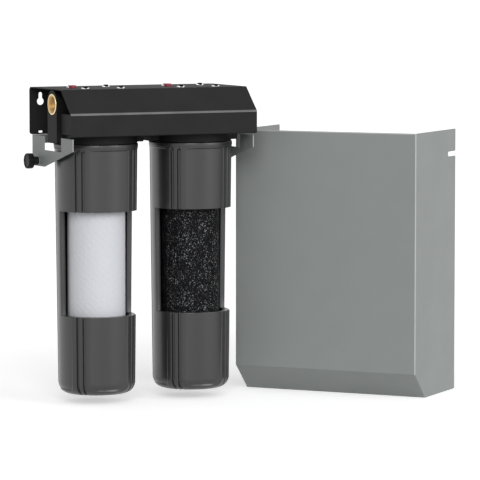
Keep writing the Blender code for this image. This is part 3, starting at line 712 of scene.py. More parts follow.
@dataclass
class Tree:
    """A Geometry Nodes tree with named inputs."""

    name: str
    group: bpy.types.NodeTree = field(init=False)
    source: Any = field(init=False)

    def __post_init__(self) -> None:
        """Starts the tree with a geometry in and a geometry out."""
        self.group = bpy.data.node_groups.new(self.name, "GeometryNodeTree")
        for way in ("OUTPUT", "INPUT"):
            self.group.interface.new_socket("Geometry", in_out=way, socket_type="NodeSocketGeometry")
        self.source = self.add("NodeGroupInput")

    def add(self, kind: str, inputs: dict[Any, Any] | None = None, **settings: Any) -> Any:
        """Adds a node to the tree, and gives its outputs."""
        return add_node(self.group, kind, inputs, **settings).outputs

    def take(self, name: str, kind: str = "NodeSocketFloat") -> Any:
        """Adds a named input, and gives the socket that carries it."""
        self.group.interface.new_socket(name, in_out="INPUT", socket_type=kind)
        return self.source[name]

    def end(self, geometry: Any) -> None:
        """Closes the tree with real geometry and its material.

        Args:
            geometry: The socket with the result.
        """
        real = self.add("GeometryNodeRealizeInstances", {0: geometry})[0]
        dressed = {"Geometry": real, "Material": self.take("Material", "NodeSocketMaterial")}
        self.add("NodeGroupOutput", {0: self.add("GeometryNodeSetMaterial", dressed)[0]})

    def run(self, obj: bpy.types.Object, sharp_deg: float = 35.0, **values: Any) -> bpy.types.Object:
        """Runs the tree on an object and leaves a plain mesh.

        Args:
            obj: The object that carries the tree.
            sharp_deg: The angle above which an edge stays sharp.
            **values: Input names to their values.

        Returns:
            The same object.
        """
        made = obj.modifiers.new(self.name, "NODES")
        made.node_group = self.group
        for item in self.group.interface.items_tree:
            if item.in_out == "INPUT" and item.name in values:
                made[item.identifier] = values[item.name]
        return settled(obj, sharp_deg)


def repeated(
    name: str, pattern: bpy.types.Object, places: Sequence[Vector], finish: Finish
) -> bpy.types.Object:
    """Sets one small piece at many places by Geometry Nodes.

    Args:
        name: The name of the result.
        pattern: The piece, modelled about the origin; it is removed.
        places: Where it goes.
        finish: The finish of all of them.

    Returns:
        One object that holds them all.
    """
    tree = Tree(f"{name} pattern")
    carried = tree.take("Pattern", "NodeSocketObject")
    piece = tree.add("GeometryNodeObjectInfo", {"Object": carried})["Geometry"]
    size = tree.take("Size")
    scale = tree.add("ShaderNodeCombineXYZ", {0: size, 1: size, 2: size})[0]
    wanted = {"Points": tree.source["Geometry"], "Instance": piece, "Scale": scale}
    tree.end(tree.add("GeometryNodeInstanceOnPoints", wanted)[0])
    mesh = bpy.data.meshes.new(name)
    mesh.from_pydata([tuple(place) for place in places], [], [])
    obj = tree.run(linked(name, mesh), Pattern=pattern, Size=1.0, Material=finish.material())
    bpy.data.objects.remove(pattern, do_unlink=True)
    return obj


# Sheet metal


def cad_shape(node: str) -> bmesh.types.BMesh:
    """Copies a CAD node's mesh and joins its triangles into flat faces.

    Args:
        node: The node.

    Returns:
        The shape, without a material.
    """
    shape = bmesh.new()
    shape.from_mesh(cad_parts[node].data)
    for face in shape.faces:
        face.material_index = 0
    bmesh.ops.remove_doubles(shape, verts=shape.verts, dist=CAD_WELD)
    joined = {"angle_limit": math.radians(FLAT_DEG), "use_dissolve_boundaries": False, "delimit": {"NORMAL"}}
    bmesh.ops.dissolve_limit(shape, verts=shape.verts, edges=shape.edges, **joined)
    return shape


@dataclass
class SheetPart:
    """A part cut and folded from sheet, taken from its CAD node with real bends and broken edges."""

    node: str
    finish: Finish
    # The finish of room-facing cut edges and highlit bends: a painted highlight, or the plain finish where
    # there is none.
    edge_finish: Finish
    thickness: float = 2 * MM
    bend: float = 2.6 * MM
    rim: float = 0.35 * MM
    # Outer bends between these two heights get the edge finish as a painted highlight.
    worn_bends: tuple[float, float] = (0.0, 0.0)
    bend_deg: float = 20.0
    bend_rows: int = 5
    inner_rows: int = 3
    # In sheet thicknesses: how much tighter a bend is inside, and how wide a cut edge or a rim may be.
    inner_tighter: float = 0.8
    cut_edge_width: float = 1.1
    rim_width: float = 1.5
    # A cut edge looks into the room where its normal's Y is below this.
    into_room: float = -0.7

    @property
    def inner_bend(self) -> float:
        """The size of a bend on its inside."""
        return self.bend - self.thickness * self.inner_tighter

    @property
    def narrow(self) -> float:
        """The width under which a face is only a cut edge of the sheet."""
        return self.thickness * self.rim_width

    def folds(self, shape: bmesh.types.BMesh) -> tuple[list[Any], list[Any]]:
        """Sorts the long folded edges into outer and inner ones.

        Args:
            shape: The sheet, with its flat faces already joined.

        Returns:
            The edges on the outside of bends, and those on the inside.
        """
        outer, inner = [], []
        for edge in shape.edges:
            folded = len(edge.link_faces) == 2 and edge.calc_face_angle() > math.radians(self.bend_deg)
            if folded and edge.calc_length() > self.narrow and not self.by_a_rim(edge):
                (outer if edge.is_convex else inner).append(edge)
        return outer, inner

    def by_a_rim(self, edge: bmesh.types.BMEdge) -> bool:
        """Says if a face beside an edge is only as wide as the sheet is thick, somewhere along the edge.

        Args:
            edge: The edge that may be a fold.

        Returns:
            True where a bend would have no room.
        """
        start, length = edge.verts[0].co, edge.calc_length()
        way = (edge.verts[1].co - start) / length
        for other in {other for face in edge.link_faces for other in face.edges} - {edge}:
            along = sorted((vert.co - start).dot(way) for vert in other.verts)
            away = max((vert.co - start).cross(way).length for vert in other.verts)
            if min(along[1], length) - max(along[0], 0) > MM and away < self.narrow:
                return True
        return False

    def mark_cut_edges(self, shape: bmesh.types.BMesh) -> None:
        """Gives the narrow cut faces that look into the room the edge finish, which paints a highlight on
        them.

        Args:
            shape: The sheet.
        """
        for face in shape.faces:
            width = min(edge.calc_length() for edge in face.edges)
            thin = width < self.thickness * self.cut_edge_width and len(face.verts) == 4
            # Cut edges that face the room get the second material, a painted highlight.
            face.material_index = int(thin and face.normal.y < self.into_room)

    def make(self) -> bpy.types.Object:
        """Bends the folds, breaks the rims and shows the part.

        Returns:
            The part.
        """
        shape = cad_shape(self.node)
        self.mark_cut_edges(shape)
        outer, inner = self.folds(shape)
        low, high = self.worn_bends
        bends = ((outer, self.bend, self.bend_rows), (inner, self.inner_bend, self.inner_rows))
        for edges, size, rows in bends:
            live = [edge for edge in edges if edge.is_valid]
            bent = bmesh.ops.bevel(shape, geom=live, offset=size, segments=rows, profile=0.5, affect="EDGES")
            for face in bent["faces"]:
                # Outer bends within those heights take the edge finish: a painted highlight.
                face.material_index = int(edges is outer and low < face.calc_center_median().z < high)
        obj = from_shape(f"{self.node}_sheet", shape, self.finish, self.edge_finish)
        edges_softened(obj, self.rim)
        return shown(flats_kept(settled(obj)), self.finish, "bracket", self.node)


@dataclass
class MouldedPart:
    """A moulded or cut piece whose CAD shape is right and only needs broken edges and its finish."""

    node: str
    finish: Finish
    body: str = "bracket"
    edge: float = 0.8 * MM

    def make(self) -> bpy.types.Object:
        """Joins the flat faces, rounds the edges and shows the piece.

        Returns:
            The piece.
        """
        obj = from_shape(f"{self.node}_piece", cad_shape(self.node))
        edges_softened(obj, self.edge)
        return shown(flats_kept(settled(obj)), self.finish, self.body, self.node)


# Bowls


@dataclass
class Bowl:
    """A cut-away bowl: collar, tapered wall with ribs and sunk panels, rounded foot and threaded neck."""

    side: Side
    height: float = 534 * MM
    collar_radius: float = 90 * MM
    collar_height: float = 9 * MM
    collar_edge: float = 1.5 * MM
    top_radius: float = 89.2 * MM
    foot_radius: float = 83.4 * MM
    corner: float = 25 * MM
    corner_rows: int = 30
    wall: float = 15 * MM
    floor: float = 12 * MM
    foot_ring: float = 4 * MM
    foot_hollow: float = 1.5 * MM
    gate_radius: float = 8 * MM
    gate_depth: float = 0.7 * MM
    neck_radius: float = 77 * MM
    neck_wall: float = 8 * MM
    thread_pitch: float = 8 * MM
    thread_depth: float = 1.1 * MM
    thread_run_out: float = 3 * MM
    window_low: float = 168.5 * MM
    window_high: float = 391.5 * MM
    window_half_deg: float = 90.0
    window_row_count: int = 8
    # Extra rings beside the window's edges, near and far.
    window_near: float = 1.2 * MM
    window_far: float = 30 * MM
    support_radius: float = 22 * MM
    support_height: float = 24 * MM
    pattern_turn_deg: float = -1.5
    panel_half_deg: float = 30.5
    panel_depth: float = 1.4 * MM
    panel_hollow: float = 2.2 * MM
    panel_low: float = 7 * MM
    panel_below_top: float = 11.5 * MM
    panel_corner: float = 13 * MM
    panel_top_corner: float = 5 * MM
    panel_edge: float = 1.6 * MM
    panel_foot_edge: float = 4 * MM
    panel_foot_reach: float = 90 * MM
    groove_from_rib_deg: float = 5.0
    groove_half_deg: float = 2.4
    groove_edge_deg: float = 0.9
    groove_depth: float = 5 * MM
    groove_run_out: float = 5 * MM
    softened: float = 0.5 * MM
    softened_above_deg: float = 62.0
    sharp_deg: float = 32.0
    # Where the mesh is dense: turns out from a panel's edge, and rings about a panel's ends.
    even_step_deg: float = 3.0
    least_step_deg: float = 0.35
    edge_turns_deg: Sequence[float] = (-9, -7.5, -6, -4.6, -3.4, -2.4, -1.6, -1.0, -0.5, 0.0, 0.6)
    panel_top_rows_mm: Sequence[float] = (1.5, 0, -1, -2.2, -3.6, -5, -7, -10, -14)
    above_corner_rows_mm: Sequence[float] = (65, 35, 25, 17, 12, 8.5, 5.5, 3, 1)

    @property
    def node(self) -> str:
        """The CAD node that the bowl replaces."""
        return f"{self.side.word}_bowl"

    @property
    def tall(self) -> float:
        """The height of the whole bowl, neck included."""
        low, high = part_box(self.node)
        return high.z - low.z

    @property
    def shoulder(self) -> float:
        """The height of the collar's lower edge."""
        return self.height - self.collar_height

    def angles(self) -> np.ndarray:
        """Spaces the turns from the front, close together where the wall has relief.

        Returns:
            The turns, in degrees.
        """
        turns = set(np.arange(-180, 180, self.even_step_deg).tolist())
        inner = self.groove_half_deg - self.groove_edge_deg
        # A panel faces each quarter, and a rib stands midway between two panels.
        for quarter in (-180, -90, 0, 90):
            start = quarter + self.pattern_turn_deg
            for edge in (-1, 1):
                limit = start + edge * self.panel_half_deg
                turns |= {limit + edge * step for step in self.edge_turns_deg}
                rib = start + 45 + edge * self.groove_from_rib_deg
                turns |= {rib + step for step in (-self.groove_half_deg, -inner, inner, self.groove_half_deg)}
        wrapped = sorted({round((turn + 180) % 360 - 180, 3) for turn in turns})
        kept = [wrapped[0]]
        for turn in wrapped[1:]:
            if turn - kept[-1] > self.least_step_deg or abs(turn) == self.window_half_deg:
                kept.append(turn)
        return np.array(kept)

    def radius_at(self, height: float) -> float:
        """The wall's outer radius before its relief."""
        share = (height - self.corner) / (self.shoulder - self.corner)
        return self.foot_radius + (self.top_radius - self.foot_radius) * share

    def panel(self, across: np.ndarray, height: float) -> np.ndarray:
        """How deep the four sunk panels are round one ring.

        Args:
            across: Lengths along the ring from the middle of the nearest panel.
            height: The ring's height above the foot, measured along the wall.

        Returns:
            The depth at each turn.
        """
        half = math.radians(self.panel_half_deg) * self.top_radius
        tall = (self.height - self.panel_below_top - self.panel_low) / 2
        above = height - self.panel_low
        corner = self.panel_corner if above < tall else self.panel_top_corner
        out_x = np.abs(across) - half + corner
        out_z = abs(above - tall) - tall + corner
        away = np.hypot(np.maximum(out_x, 0), max(out_z, 0.0)) + np.minimum(np.maximum(out_x, out_z), 0)
        low_down = min(max(1 - above / self.panel_foot_reach, 0.0), 1.0)
        edge = self.panel_edge + (self.panel_foot_edge - self.panel_edge) * low_down
        inside = np.clip((corner - away) / edge, 0, 1)
        hollow = self.panel_hollow * (1 - np.minimum(across / half, 1) ** 2)
        return (self.panel_depth + hollow) * inside * inside * (3 - 2 * inside)

    def relief(self, turns: np.ndarray, height: float) -> np.ndarray:
        """How far the panels and grooves sink the wall round one ring.

        Args:
            turns: Turns from the front, in degrees.
            height: The ring's height above the foot, measured along the wall.

        Returns:
            The depth at each turn.
        """
        turned = turns - self.pattern_turn_deg
        across = np.radians((turned + 45) % 90 - 45) * self.top_radius
        from_groove = np.abs(np.abs(turned % 90 - 45) - self.groove_from_rib_deg)
        cut = np.clip((self.groove_half_deg - from_groove) / self.groove_edge_deg, 0, 1)
        below = self.height - self.panel_below_top - height
        fade = min(max(below / self.groove_run_out, 0.0), 1.0)
        return self.panel(across, height) + self.groove_depth * cut * fade

    def neck_rows(self, turns: np.ndarray) -> list[Ring]:
        """Makes the threaded neck and the collar.

        Args:
            turns: Turns from the front, in degrees.

        Returns:
            The rings, from the top down.
        """
        rows: list[Ring] = []
        for height in np.arange(self.tall, self.height, -MM).tolist():
            swing = np.cos(math.tau * height / self.thread_pitch - np.radians(turns))
            to_end = min(height - self.height, self.tall - height)
            fade = min(to_end / self.thread_run_out, 1.0)
            rows.append((height, self.neck_radius - self.thread_depth * fade * (0.5 - 0.5 * swing), height))
        edge = self.collar_edge
        inner = self.collar_radius - edge
        collar = [(self.neck_radius, self.height), (inner, self.height)]
        collar += rounded((inner, self.height - edge), edge, 68, 0, 4)
        collar += rounded((inner, self.shoulder + edge), edge, 0, -60, 4)
        return rows + [(height, radius, height) for radius, height in collar]

    def outside(self, turns: np.ndarray) -> list[Ring]:
        """Makes the outer wall.

        Args:
            turns: Turns from the front, in degrees.

        Returns:
            The rings, from the neck's rim to the middle of the foot.
        """
        rows = self.neck_rows(turns)
        for height in self.wall_rows():
            rows.append((height, self.radius_at(height) - self.relief(turns, height), height))
        inner = self.foot_radius - self.corner
        for angle in np.radians(np.linspace(-3, -90, self.corner_rows)).tolist():
            size = self.corner - self.relief(turns, self.corner * (1 + angle))
            level = self.corner * (1 + math.sin(angle))
            rows.append((level, inner + size * math.cos(angle), self.corner + size * math.sin(angle)))
        ring, hollow, gate = inner - self.foot_ring, self.foot_hollow, self.gate_radius
        ends = [(ring, 0), (ring - hollow, hollow), (gate + MM, hollow)]
        ends += [(gate, self.gate_depth), (0, self.gate_depth)]
        return rows + [(height, radius, height) for radius, height in ends]

    def wall_rows(self) -> list[float]:
        """Spaces the wall's rings, close together at the ends of the panels.

        Returns:
            Their heights, from the top down.
        """
        top = self.shoulder - self.collar_edge
        rows = [top, (self.window_high + top) / 2, *self.window_rows()]
        for away in (self.window_near, self.window_far):
            rows += [self.window_high + away, self.window_low - away]
        rows += [self.height - self.panel_below_top + step * MM for step in self.panel_top_rows_mm]
        rows += [self.corner + step * MM for step in self.above_corner_rows_mm]
        return sorted((height for height in rows if height <= top), reverse=True)

    def window_rows(self) -> list[float]:
        """Heights of the rings beside the cut-away window, its edges included."""
        return np.linspace(self.window_high, self.window_low, self.window_row_count).tolist()

    def inside(self) -> list[Ring]:
        """Makes the inner wall.

        Returns:
            The rings, from the neck's rim to the cartridge's seat.
        """
        bore, seat = self.neck_radius - self.neck_wall, self.support_radius
        foot = self.foot_radius - self.wall
        pairs = [(bore, self.tall), (bore, self.height), (self.top_radius - self.wall, self.shoulder)]
        pairs += [(self.radius_at(height) - self.wall, height) for height in self.window_rows()]
        pairs += [(foot, self.floor * 2)]
        pairs += rounded((foot - self.floor, self.floor * 2), self.floor, -15, -90, 6)
        top = self.floor + self.support_height
        pairs += [(seat + MM, self.floor), (seat, self.floor + MM), (seat, top), (0, top)]
        return [(height, radius, height) for radius, height in pairs]

    def make(self) -> bpy.types.Object:
        """Builds both walls, joins them at the rim and round the window, and shows the bowl.

        Returns:
            The bowl.
        """
        turns = self.angles()
        around = np.radians(turns)
        centre, foot = middle_of(self.node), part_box(self.node)[0].z
        maker = MeshMaker()
        edges = (-self.window_half_deg, self.window_half_deg)
        first, last = (int(np.where(turns == edge)[0][0]) for edge in edges)
        rims, spans = [], []
        for rows in (self.outside(turns), self.inside()):
            grid = np.zeros((len(rows), len(turns), 3))
            for ring, (_, radius, height) in zip(grid, rows):
                ring[:, 0] = centre.x + radius * np.sin(around)
                ring[:, 1] = centre.y - radius * np.cos(around)
                ring[:, 2] = foot + height
            cut = [at for at, (level, _, _) in enumerate(rows) if self.in_window(level)]
            numbers = maker.rows(grid, self.kept_faces(cut[0], cut[-1], first, last))
            rims.append(numbers[0])
            spans.append(numbers[cut[0] : cut[-1] + 1, first : last + 1])
        maker.bridge(rims[0], rims[1], closed=True)
        for side in (np.s_[0, :], np.s_[-1, :], np.s_[:, 0], np.s_[:, -1]):
            maker.bridge(spans[0][side], spans[1][side])
        obj = maker.build(f"{self.node}_shell")
        edges_softened(obj, self.softened, self.softened_above_deg)
        return shown(settled(obj, self.sharp_deg), Finishes.BOWL, self.node, self.node)

    def in_window(self, height: float) -> bool:
        """Says if a ring lies in the window or on its edge."""
        return self.window_low - WELD < height < self.window_high + WELD

    @staticmethod
    def kept_faces(top: int, bottom: int, first: int, last: int) -> Callable[[int, int], bool]:
        """Makes the test for the faces that stay round the window.

        Args:
            top: The row on the window's upper edge.
            bottom: The row on its lower edge.
            first: The column on its left edge.
            last: The column on its right edge.

        Returns:
            A test that takes a row and a column.
        """
        return lambda row, column: not (top <= row < bottom and first <= column < last)


# Cartridges


@dataclass
class Cartridge:
    """A filter element, round and slightly uneven, made by Geometry Nodes."""

    kind: str
    finish: Finish
    cap_finish: Finish
    ridge: float
    wave_mm: float
    cap_edge: float = 1.2 * MM
    sharp_deg: float = 60.0
    around: int = 176
    rings: int = 220
    windings: float = 24.0
    # How fast a winding climbs, in radians of turn for a metre, and its share of the relief.
    climb: float = 420.0
    winding_share: float = 0.25

    def tree(self) -> Tree:
        """Builds a tube whose surface swells by noise and by crossing windings.

        Returns:
            The tree.
        """
        tree = Tree(f"{self.kind} surface")
        radius, length, ridge, wave = (tree.take(name) for name in ("Radius", "Length", "Ridge", "Wave"))
        centre = tree.take("Centre", "NodeSocketVector")
        sizes = {"Radius": radius, "Depth": length, "Vertices": self.around, "Side Segments": self.rings}
        tube = tree.add("GeometryNodeMeshCylinder", sizes)["Mesh"]
        place = tree.add("GeometryNodeInputPosition")[0]
        swell = tree.add("ShaderNodeTexNoise", {"Vector": place, "Scale": wave, "Detail": 2.0})["Fac"]
        x, y, z = tree.add("ShaderNodeSeparateXYZ", {0: place})
        turn = tree.add(MATH, {0: y, 1: x}, operation="ARCTAN2")[0]
        wound = tree.add(MATH, {0: turn, 1: self.windings}, operation="MULTIPLY")[0]
        bands = []
        for climb in (-self.climb, self.climb):
            phase = tree.add(MATH, {0: z, 1: climb, 2: wound}, operation="MULTIPLY_ADD")[0]
            bands.append(tree.add(MATH, {0: phase}, operation="SINE")[0])
        cross = tree.add(MATH, dict(enumerate(bands)), operation="MAXIMUM")[0]
        rough = tree.add(MATH, {0: cross, 1: self.winding_share, 2: swell}, operation="MULTIPLY_ADD")[0]
        raised = tree.add(MATH, {0: rough, 1: ridge}, operation="MULTIPLY")[0]
        sunk = tree.add(MATH, {0: raised, 1: ridge}, operation="SUBTRACT")[0]
        flat = tree.add("ShaderNodeCombineXYZ", {0: x, 1: y})[0]
        outward = tree.add("ShaderNodeVectorMath", {0: flat}, operation="NORMALIZE")[0]
        offset = tree.add("ShaderNodeVectorMath", {0: outward, "Scale": sunk}, operation="SCALE")[0]
        shaped = tree.add("GeometryNodeSetPosition", {"Geometry": tube, "Offset": offset})[0]
        tree.end(tree.add("GeometryNodeTransform", {"Geometry": shaped, "Translation": centre})[0])
        return tree

    def make(self) -> None:
        """Makes the element and its two end caps."""
        node, body = f"{self.kind}_media", f"{self.kind}_cartridge"
        low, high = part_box(node)
        sizes = {"Radius": (high.x - low.x) / 2, "Length": high.z - low.z, "Centre": middle_of(node)}
        sizes |= {"Ridge": self.ridge, "Wave": 1 / (self.wave_mm * MM), "Material": self.finish.material()}
        empty = linked(f"{node}_element", bpy.data.meshes.new(node))
        shown(self.tree().run(empty, self.sharp_deg, **sizes), self.finish, body, node)
        for end in ("lower", "upper"):
            MouldedPart(f"{self.kind}_{end}_cap", self.cap_finish, body, self.cap_edge).make()


# Fittings


@dataclass
class PortInsert:
    """A brass insert with a chamfered mouth and an internal pipe thread."""

    node: str
    side: Side
    radius: float = 22.6 * MM
    edge: float = 0.8 * MM
    mouth: float = 19.4 * MM
    root: float = 17.7 * MM
    crest: float = 16.6 * MM
    pitch: float = 2.31 * MM
    rows_each_turn: int = 8
    # How far the thread stays from the insert's back and from its face.
    bore_ends: tuple[float, float] = (0.4 * MM, 2 * MM)
    sharp_deg: float = 50.0

    def make(self) -> bpy.types.Object:
        """Turns the insert and dresses its mouth as a polished rim.

        Returns:
            The insert.
        """
        low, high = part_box(self.node)
        back, face = (low.x, high.x) if self.side is Side.RIGHT else (high.x, low.x)
        length = high.x - low.x
        centre = middle_of(self.node)
        centre.x = back
        start, end = self.bore_ends
        bore = np.arange(length - end, start, -self.pitch / self.rows_each_turn).tolist()
        profile = [(self.radius, 0), (self.radius, length - self.edge), (self.radius - self.edge, length)]
        profile += [(self.mouth, length), (self.root, length - (self.mouth - self.root))]
        profile += [*((self.root, height) for height in bore), (self.crest, 0)]

        def thread(radius: float, height: float, turn: float) -> float:
            """Cuts the thread into the bore.

            Args:
                radius: The radius before the cut.
                height: The height along the axis.
                turn: The turn round it.

            Returns:
                The radius.
            """
            if abs(radius - self.root) > WELD or height > bore[0] + WELD:
                return radius
            swing = math.cos(math.tau * height / self.pitch + turn)
            return self.crest + (self.root - self.crest) * (0.5 + 0.5 * swing)

        lathe = Lathe(centre, self.side.outward)
        obj = settled(lathe.solid(f"{self.node}_threaded", profile, thread, ring=True), self.sharp_deg)
        for finish in (Finishes.BRASS, Finishes.BRASS_RIM):
            obj.data.materials.append(finish.material())
        for polygon in obj.data.polygons:
            if abs(polygon.center.x - face) < self.edge:
                polygon.material_index = 1
        return shown(obj, Finishes.BRASS, "bracket", self.node)


@dataclass
class HeadScrews:
    """Knurled socket-head screws through the hood on bright tab washers, one pair for each CAD screw; the
    washers' upturned tabs are painted highlights for the glints on the heads.
    """

    radius: float = 5.2 * MM
    top: float = 4.8 * MM
    edge: float = 0.7 * MM
    knurls: int = 24
    knurl_depth: float = 0.25 * MM
    socket: float = 2.5 * MM
    depth: float = 2.6 * MM
    shank: float = 3 * MM
    steps: int = 96
    plate: float = 0.5 * MM
    tab_reach: float = 9.4 * MM
    tab_half: float = 4.7 * MM
    tab_rise: float = 2.5 * MM
    tab_bend: float = 2 * MM
    tab_corner: float = 1.2 * MM
    tab_gap: float = 0.2 * MM
    tab_edge: float = 0.6
    tab_steps: int = 48

    def screw(self, length: float) -> bpy.types.Object:
        """Turns one screw about the origin, standing on its washer.

        Args:
            length: The length below the washer's seat.

        Returns:
            The screw.
        """
        edge, bottom = self.edge, self.top - self.depth
        inner = self.radius - edge
        profile = [(0, bottom), (self.socket, bottom), (self.socket, self.top), (inner, self.top)]
        profile += rounded((inner, self.top - edge), edge, 70, 0, 4)
        profile += [(self.radius, self.plate + edge / 2), (self.radius - edge / 2, self.plate)]
        profile += [(self.shank, self.plate), (self.shank, -length), (0, -length)]

        def cut(radius: float, height: float, turn: float) -> float:
            """Makes the socket six-sided and knurls the side.

            Args:
                radius: The radius before the cut.
                height: The height above the seat.
                turn: The turn round the screw.

            Returns:
                The radius.
            """
            if abs(radius - self.socket) < WELD and height > 0:
                return radius * math.cos(math.pi / 6) / math.cos(turn % (math.pi / 3) - math.pi / 6)
            if abs(radius - self.radius) < WELD:
                return radius - self.knurl_depth * (0.5 + 0.5 * math.cos(self.knurls * turn))
            return radius

        return settled(Lathe(Vector(), Z_AXIS, self.steps).solid("screw", profile, cut))

    def washer(self) -> bpy.types.Object:
        """Makes one oval washer, thin under the head, whose two ends are bent up beside it as painted glints.

        Returns:
            The washer.
        """
        turns = np.linspace(0, math.tau, self.tab_steps, endpoint=False)
        out = 1 / np.hypot(np.cos(turns) / self.tab_reach, np.sin(turns) / self.tab_half)
        seat = np.minimum(self.radius + self.tab_gap, out)
        bent = np.clip((out - self.radius) / self.tab_bend, 0, 1)
        rise = self.plate + (self.tab_rise - self.plate) * bent
        lip = np.maximum(out - self.tab_corner, seat)
        rings = [(self.shank, 0), (self.shank, self.plate), (seat, self.plate), (seat, rise), (lip, rise)]
        rings += [(out, rise * self.tab_edge), (out, 0)]
        grid = np.zeros((len(rings), len(turns), 3))
        for ring, (radius, height) in zip(grid, rings):
            ring[:, 0], ring[:, 1], ring[:, 2] = radius * np.cos(turns), radius * np.sin(turns), height
        maker = MeshMaker()
        numbers = maker.rows(grid)
        maker.bridge(numbers[-1], numbers[0], closed=True)
        return settled(maker.build("washer"))

    def make(self) -> None:
        """Makes one screw and one washer and repeats them at every place."""
        nodes = [f"{side.word}_head_screw_{number}" for side in Side for number in range(1, 5)]
        tops = [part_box(node)[1].z for node in nodes]
        length = tops[0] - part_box(nodes[0])[0].z - self.top
        seats = [Vector((*middle_of(node).xy, top - self.top)) for node, top in zip(nodes, tops)]
        screws = repeated("head_screws", self.screw(length), seats, Finishes.SCREW)
        shown(screws, Finishes.SCREW, "bracket", *nodes)
        # The washers' bright tabs are painted highlights for the screw heads' glints.
        shown(repeated("screw_washers", self.washer(), seats, Finishes.NICKEL), Finishes.NICKEL, "bracket")


@dataclass
class Rivets:
    """Domed rivets of the hood's flange and of the cover bracket's tabs."""

    radius: float = 4.5 * MM
    height: float = 1.4 * MM
    shank: float = 2.4 * MM
    steps: int = 32
    dome_rows: int = 7

    def make(self) -> bpy.types.Object:
        """Makes one rivet and repeats it at every place.

        Returns:
            All rivets in one object.
        """
        nodes = [f"{kind}_rivet_{number}" for kind in ("hood", "bracket") for number in range(1, 5)]
        fronts = [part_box(node)[0].y for node in nodes]
        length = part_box(nodes[0])[1].y - fronts[0] - self.height
        turns = np.linspace(0, math.pi / 2, self.dome_rows).tolist()
        profile = [(self.radius * math.sin(turn), self.height * math.cos(turn)) for turn in turns]
        profile += [(self.radius, 0), (self.shank, 0), (self.shank, -length), (0, -length)]
        rivet = settled(Lathe(Vector(), Vector((0, -1, 0)), self.steps).solid("rivet", profile))
        middles = [middle_of(node) for node in nodes]
        seats = [Vector((at.x, front + self.height, at.z)) for at, front in zip(middles, fronts)]
        return shown(repeated("rivets", rivet, seats, Finishes.HOOD), Finishes.HOOD, "bracket", *nodes)


@dataclass
class ReliefButton:
    """A red relief button: domed edge, sunk face and a grooved skirt."""

    side: Side
    radius: float = 8 * MM
    edge: float = 1.6 * MM
    dish: float = 0.6 * MM
    # The dish's radius at its bottom and at its brim.
    dish_radii: tuple[float, float] = (4 * MM, 4.96 * MM)
    groove_below_top: float = 5 * MM
    groove: float = 1 * MM
    groove_slope: float = 0.2 * MM
    groove_depth: float = 0.3 * MM
    steps: int = 48

    def make(self) -> bpy.types.Object:
        """Turns the button and shows it.

        Returns:
            The button.
        """
        node = f"{self.side.word}_relief_button"
        low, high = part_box(node)
        centre = middle_of(node)
        centre.z = low.z
        tall = high.z - low.z
        bottom, brim = self.dish_radii
        profile = [(0, tall - self.dish), (bottom, tall - self.dish), (brim, tall)]
        profile += rounded((self.radius - self.edge, tall - self.edge), self.edge, 90, 0, 7)
        upper, slope = tall - self.groove_below_top, self.groove_slope
        lower, sunk = upper - self.groove, self.radius - self.groove_depth
        profile += [(self.radius, upper), (sunk, upper - slope), (sunk, lower + slope), (self.radius, lower)]
        profile += [(self.radius, 0), (0, 0)]
        obj = settled(Lathe(centre, Z_AXIS, self.steps).solid(f"{node}_cap", profile))
        return shown(obj, Finishes.RED, f"{self.side.word}_button", node)


@dataclass
class Knob:
    """A fluted thumb screw with a stem and a threaded stud."""

    side: Side
    radius: float = 16.4 * MM
    head: float = 13.5 * MM
    rim: float = 2.6 * MM
    edge: float = 1.4 * MM
    recess: float = 1.6 * MM
    flutes: int = 16
    flute_depth: float = 1.5 * MM
    stem_radius: float = 9.2 * MM
    stem: float = 13.2 * MM
    stem_edge: float = 0.6 * MM
    stud: float = 4 * MM
    pitch: float = 1.25 * MM
    thread_depth: float = 0.35 * MM
    rows_each_turn: int = 6
    steps: int = 128
    sharp_deg: float = 40.0

    def make(self) -> bpy.types.Object:
        """Turns the thumb screw with its flutes and thread.

        Returns:
            The thumb screw.
        """
        node = f"{self.side.word}_knob"
        low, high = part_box(node)
        length = high.x - low.x
        centre = middle_of(node)
        centre.x = low.x if self.side is Side.RIGHT else high.x
        back, foot = length - self.head, length - self.head - self.stem
        bottom, lip, flat = length - self.recess, self.radius - self.rim, self.radius - self.edge
        profile = [(0, bottom), (lip - MM, bottom), (lip, length), (flat, length)]
        profile += rounded((flat, length - self.edge), self.edge, 70, 0, 4)
        profile += rounded((flat, back + self.edge), self.edge, 0, -90, 5)
        profile += [(self.stem_radius + MM, back), (self.stem_radius, back - MM)]
        profile += [(self.stem_radius, foot + self.stem_edge), (self.stem_radius - self.stem_edge, foot)]
        step = self.pitch / self.rows_each_turn
        profile += [(self.stud, height) for height in (foot, *np.arange(foot - step, MM, -step).tolist())]
        profile += [(self.stud - MM, 0), (0, 0)]

        def cut(radius: float, height: float, turn: float) -> float:
            """Flutes the head and threads the stud.

            Args:
                radius: The radius before the cut.
                height: The height from the stud's end.
                turn: The turn round the screw.

            Returns:
                The radius.
            """
            if radius > flat - WELD and height > back:
                return radius - self.flute_depth * max(0.0, math.cos(self.flutes * turn)) ** 2
            if abs(radius - self.stud) < WELD and height < foot:
                swing = math.cos(math.tau * height / self.pitch + turn)
                return radius - self.thread_depth * (0.5 - 0.5 * swing)
            return radius

        lathe = Lathe(centre, self.side.outward, self.steps)
        obj = settled(lathe.solid(f"{node}_screw", profile, cut), self.sharp_deg)
        return shown(obj, Finishes.KNOB, node, node)


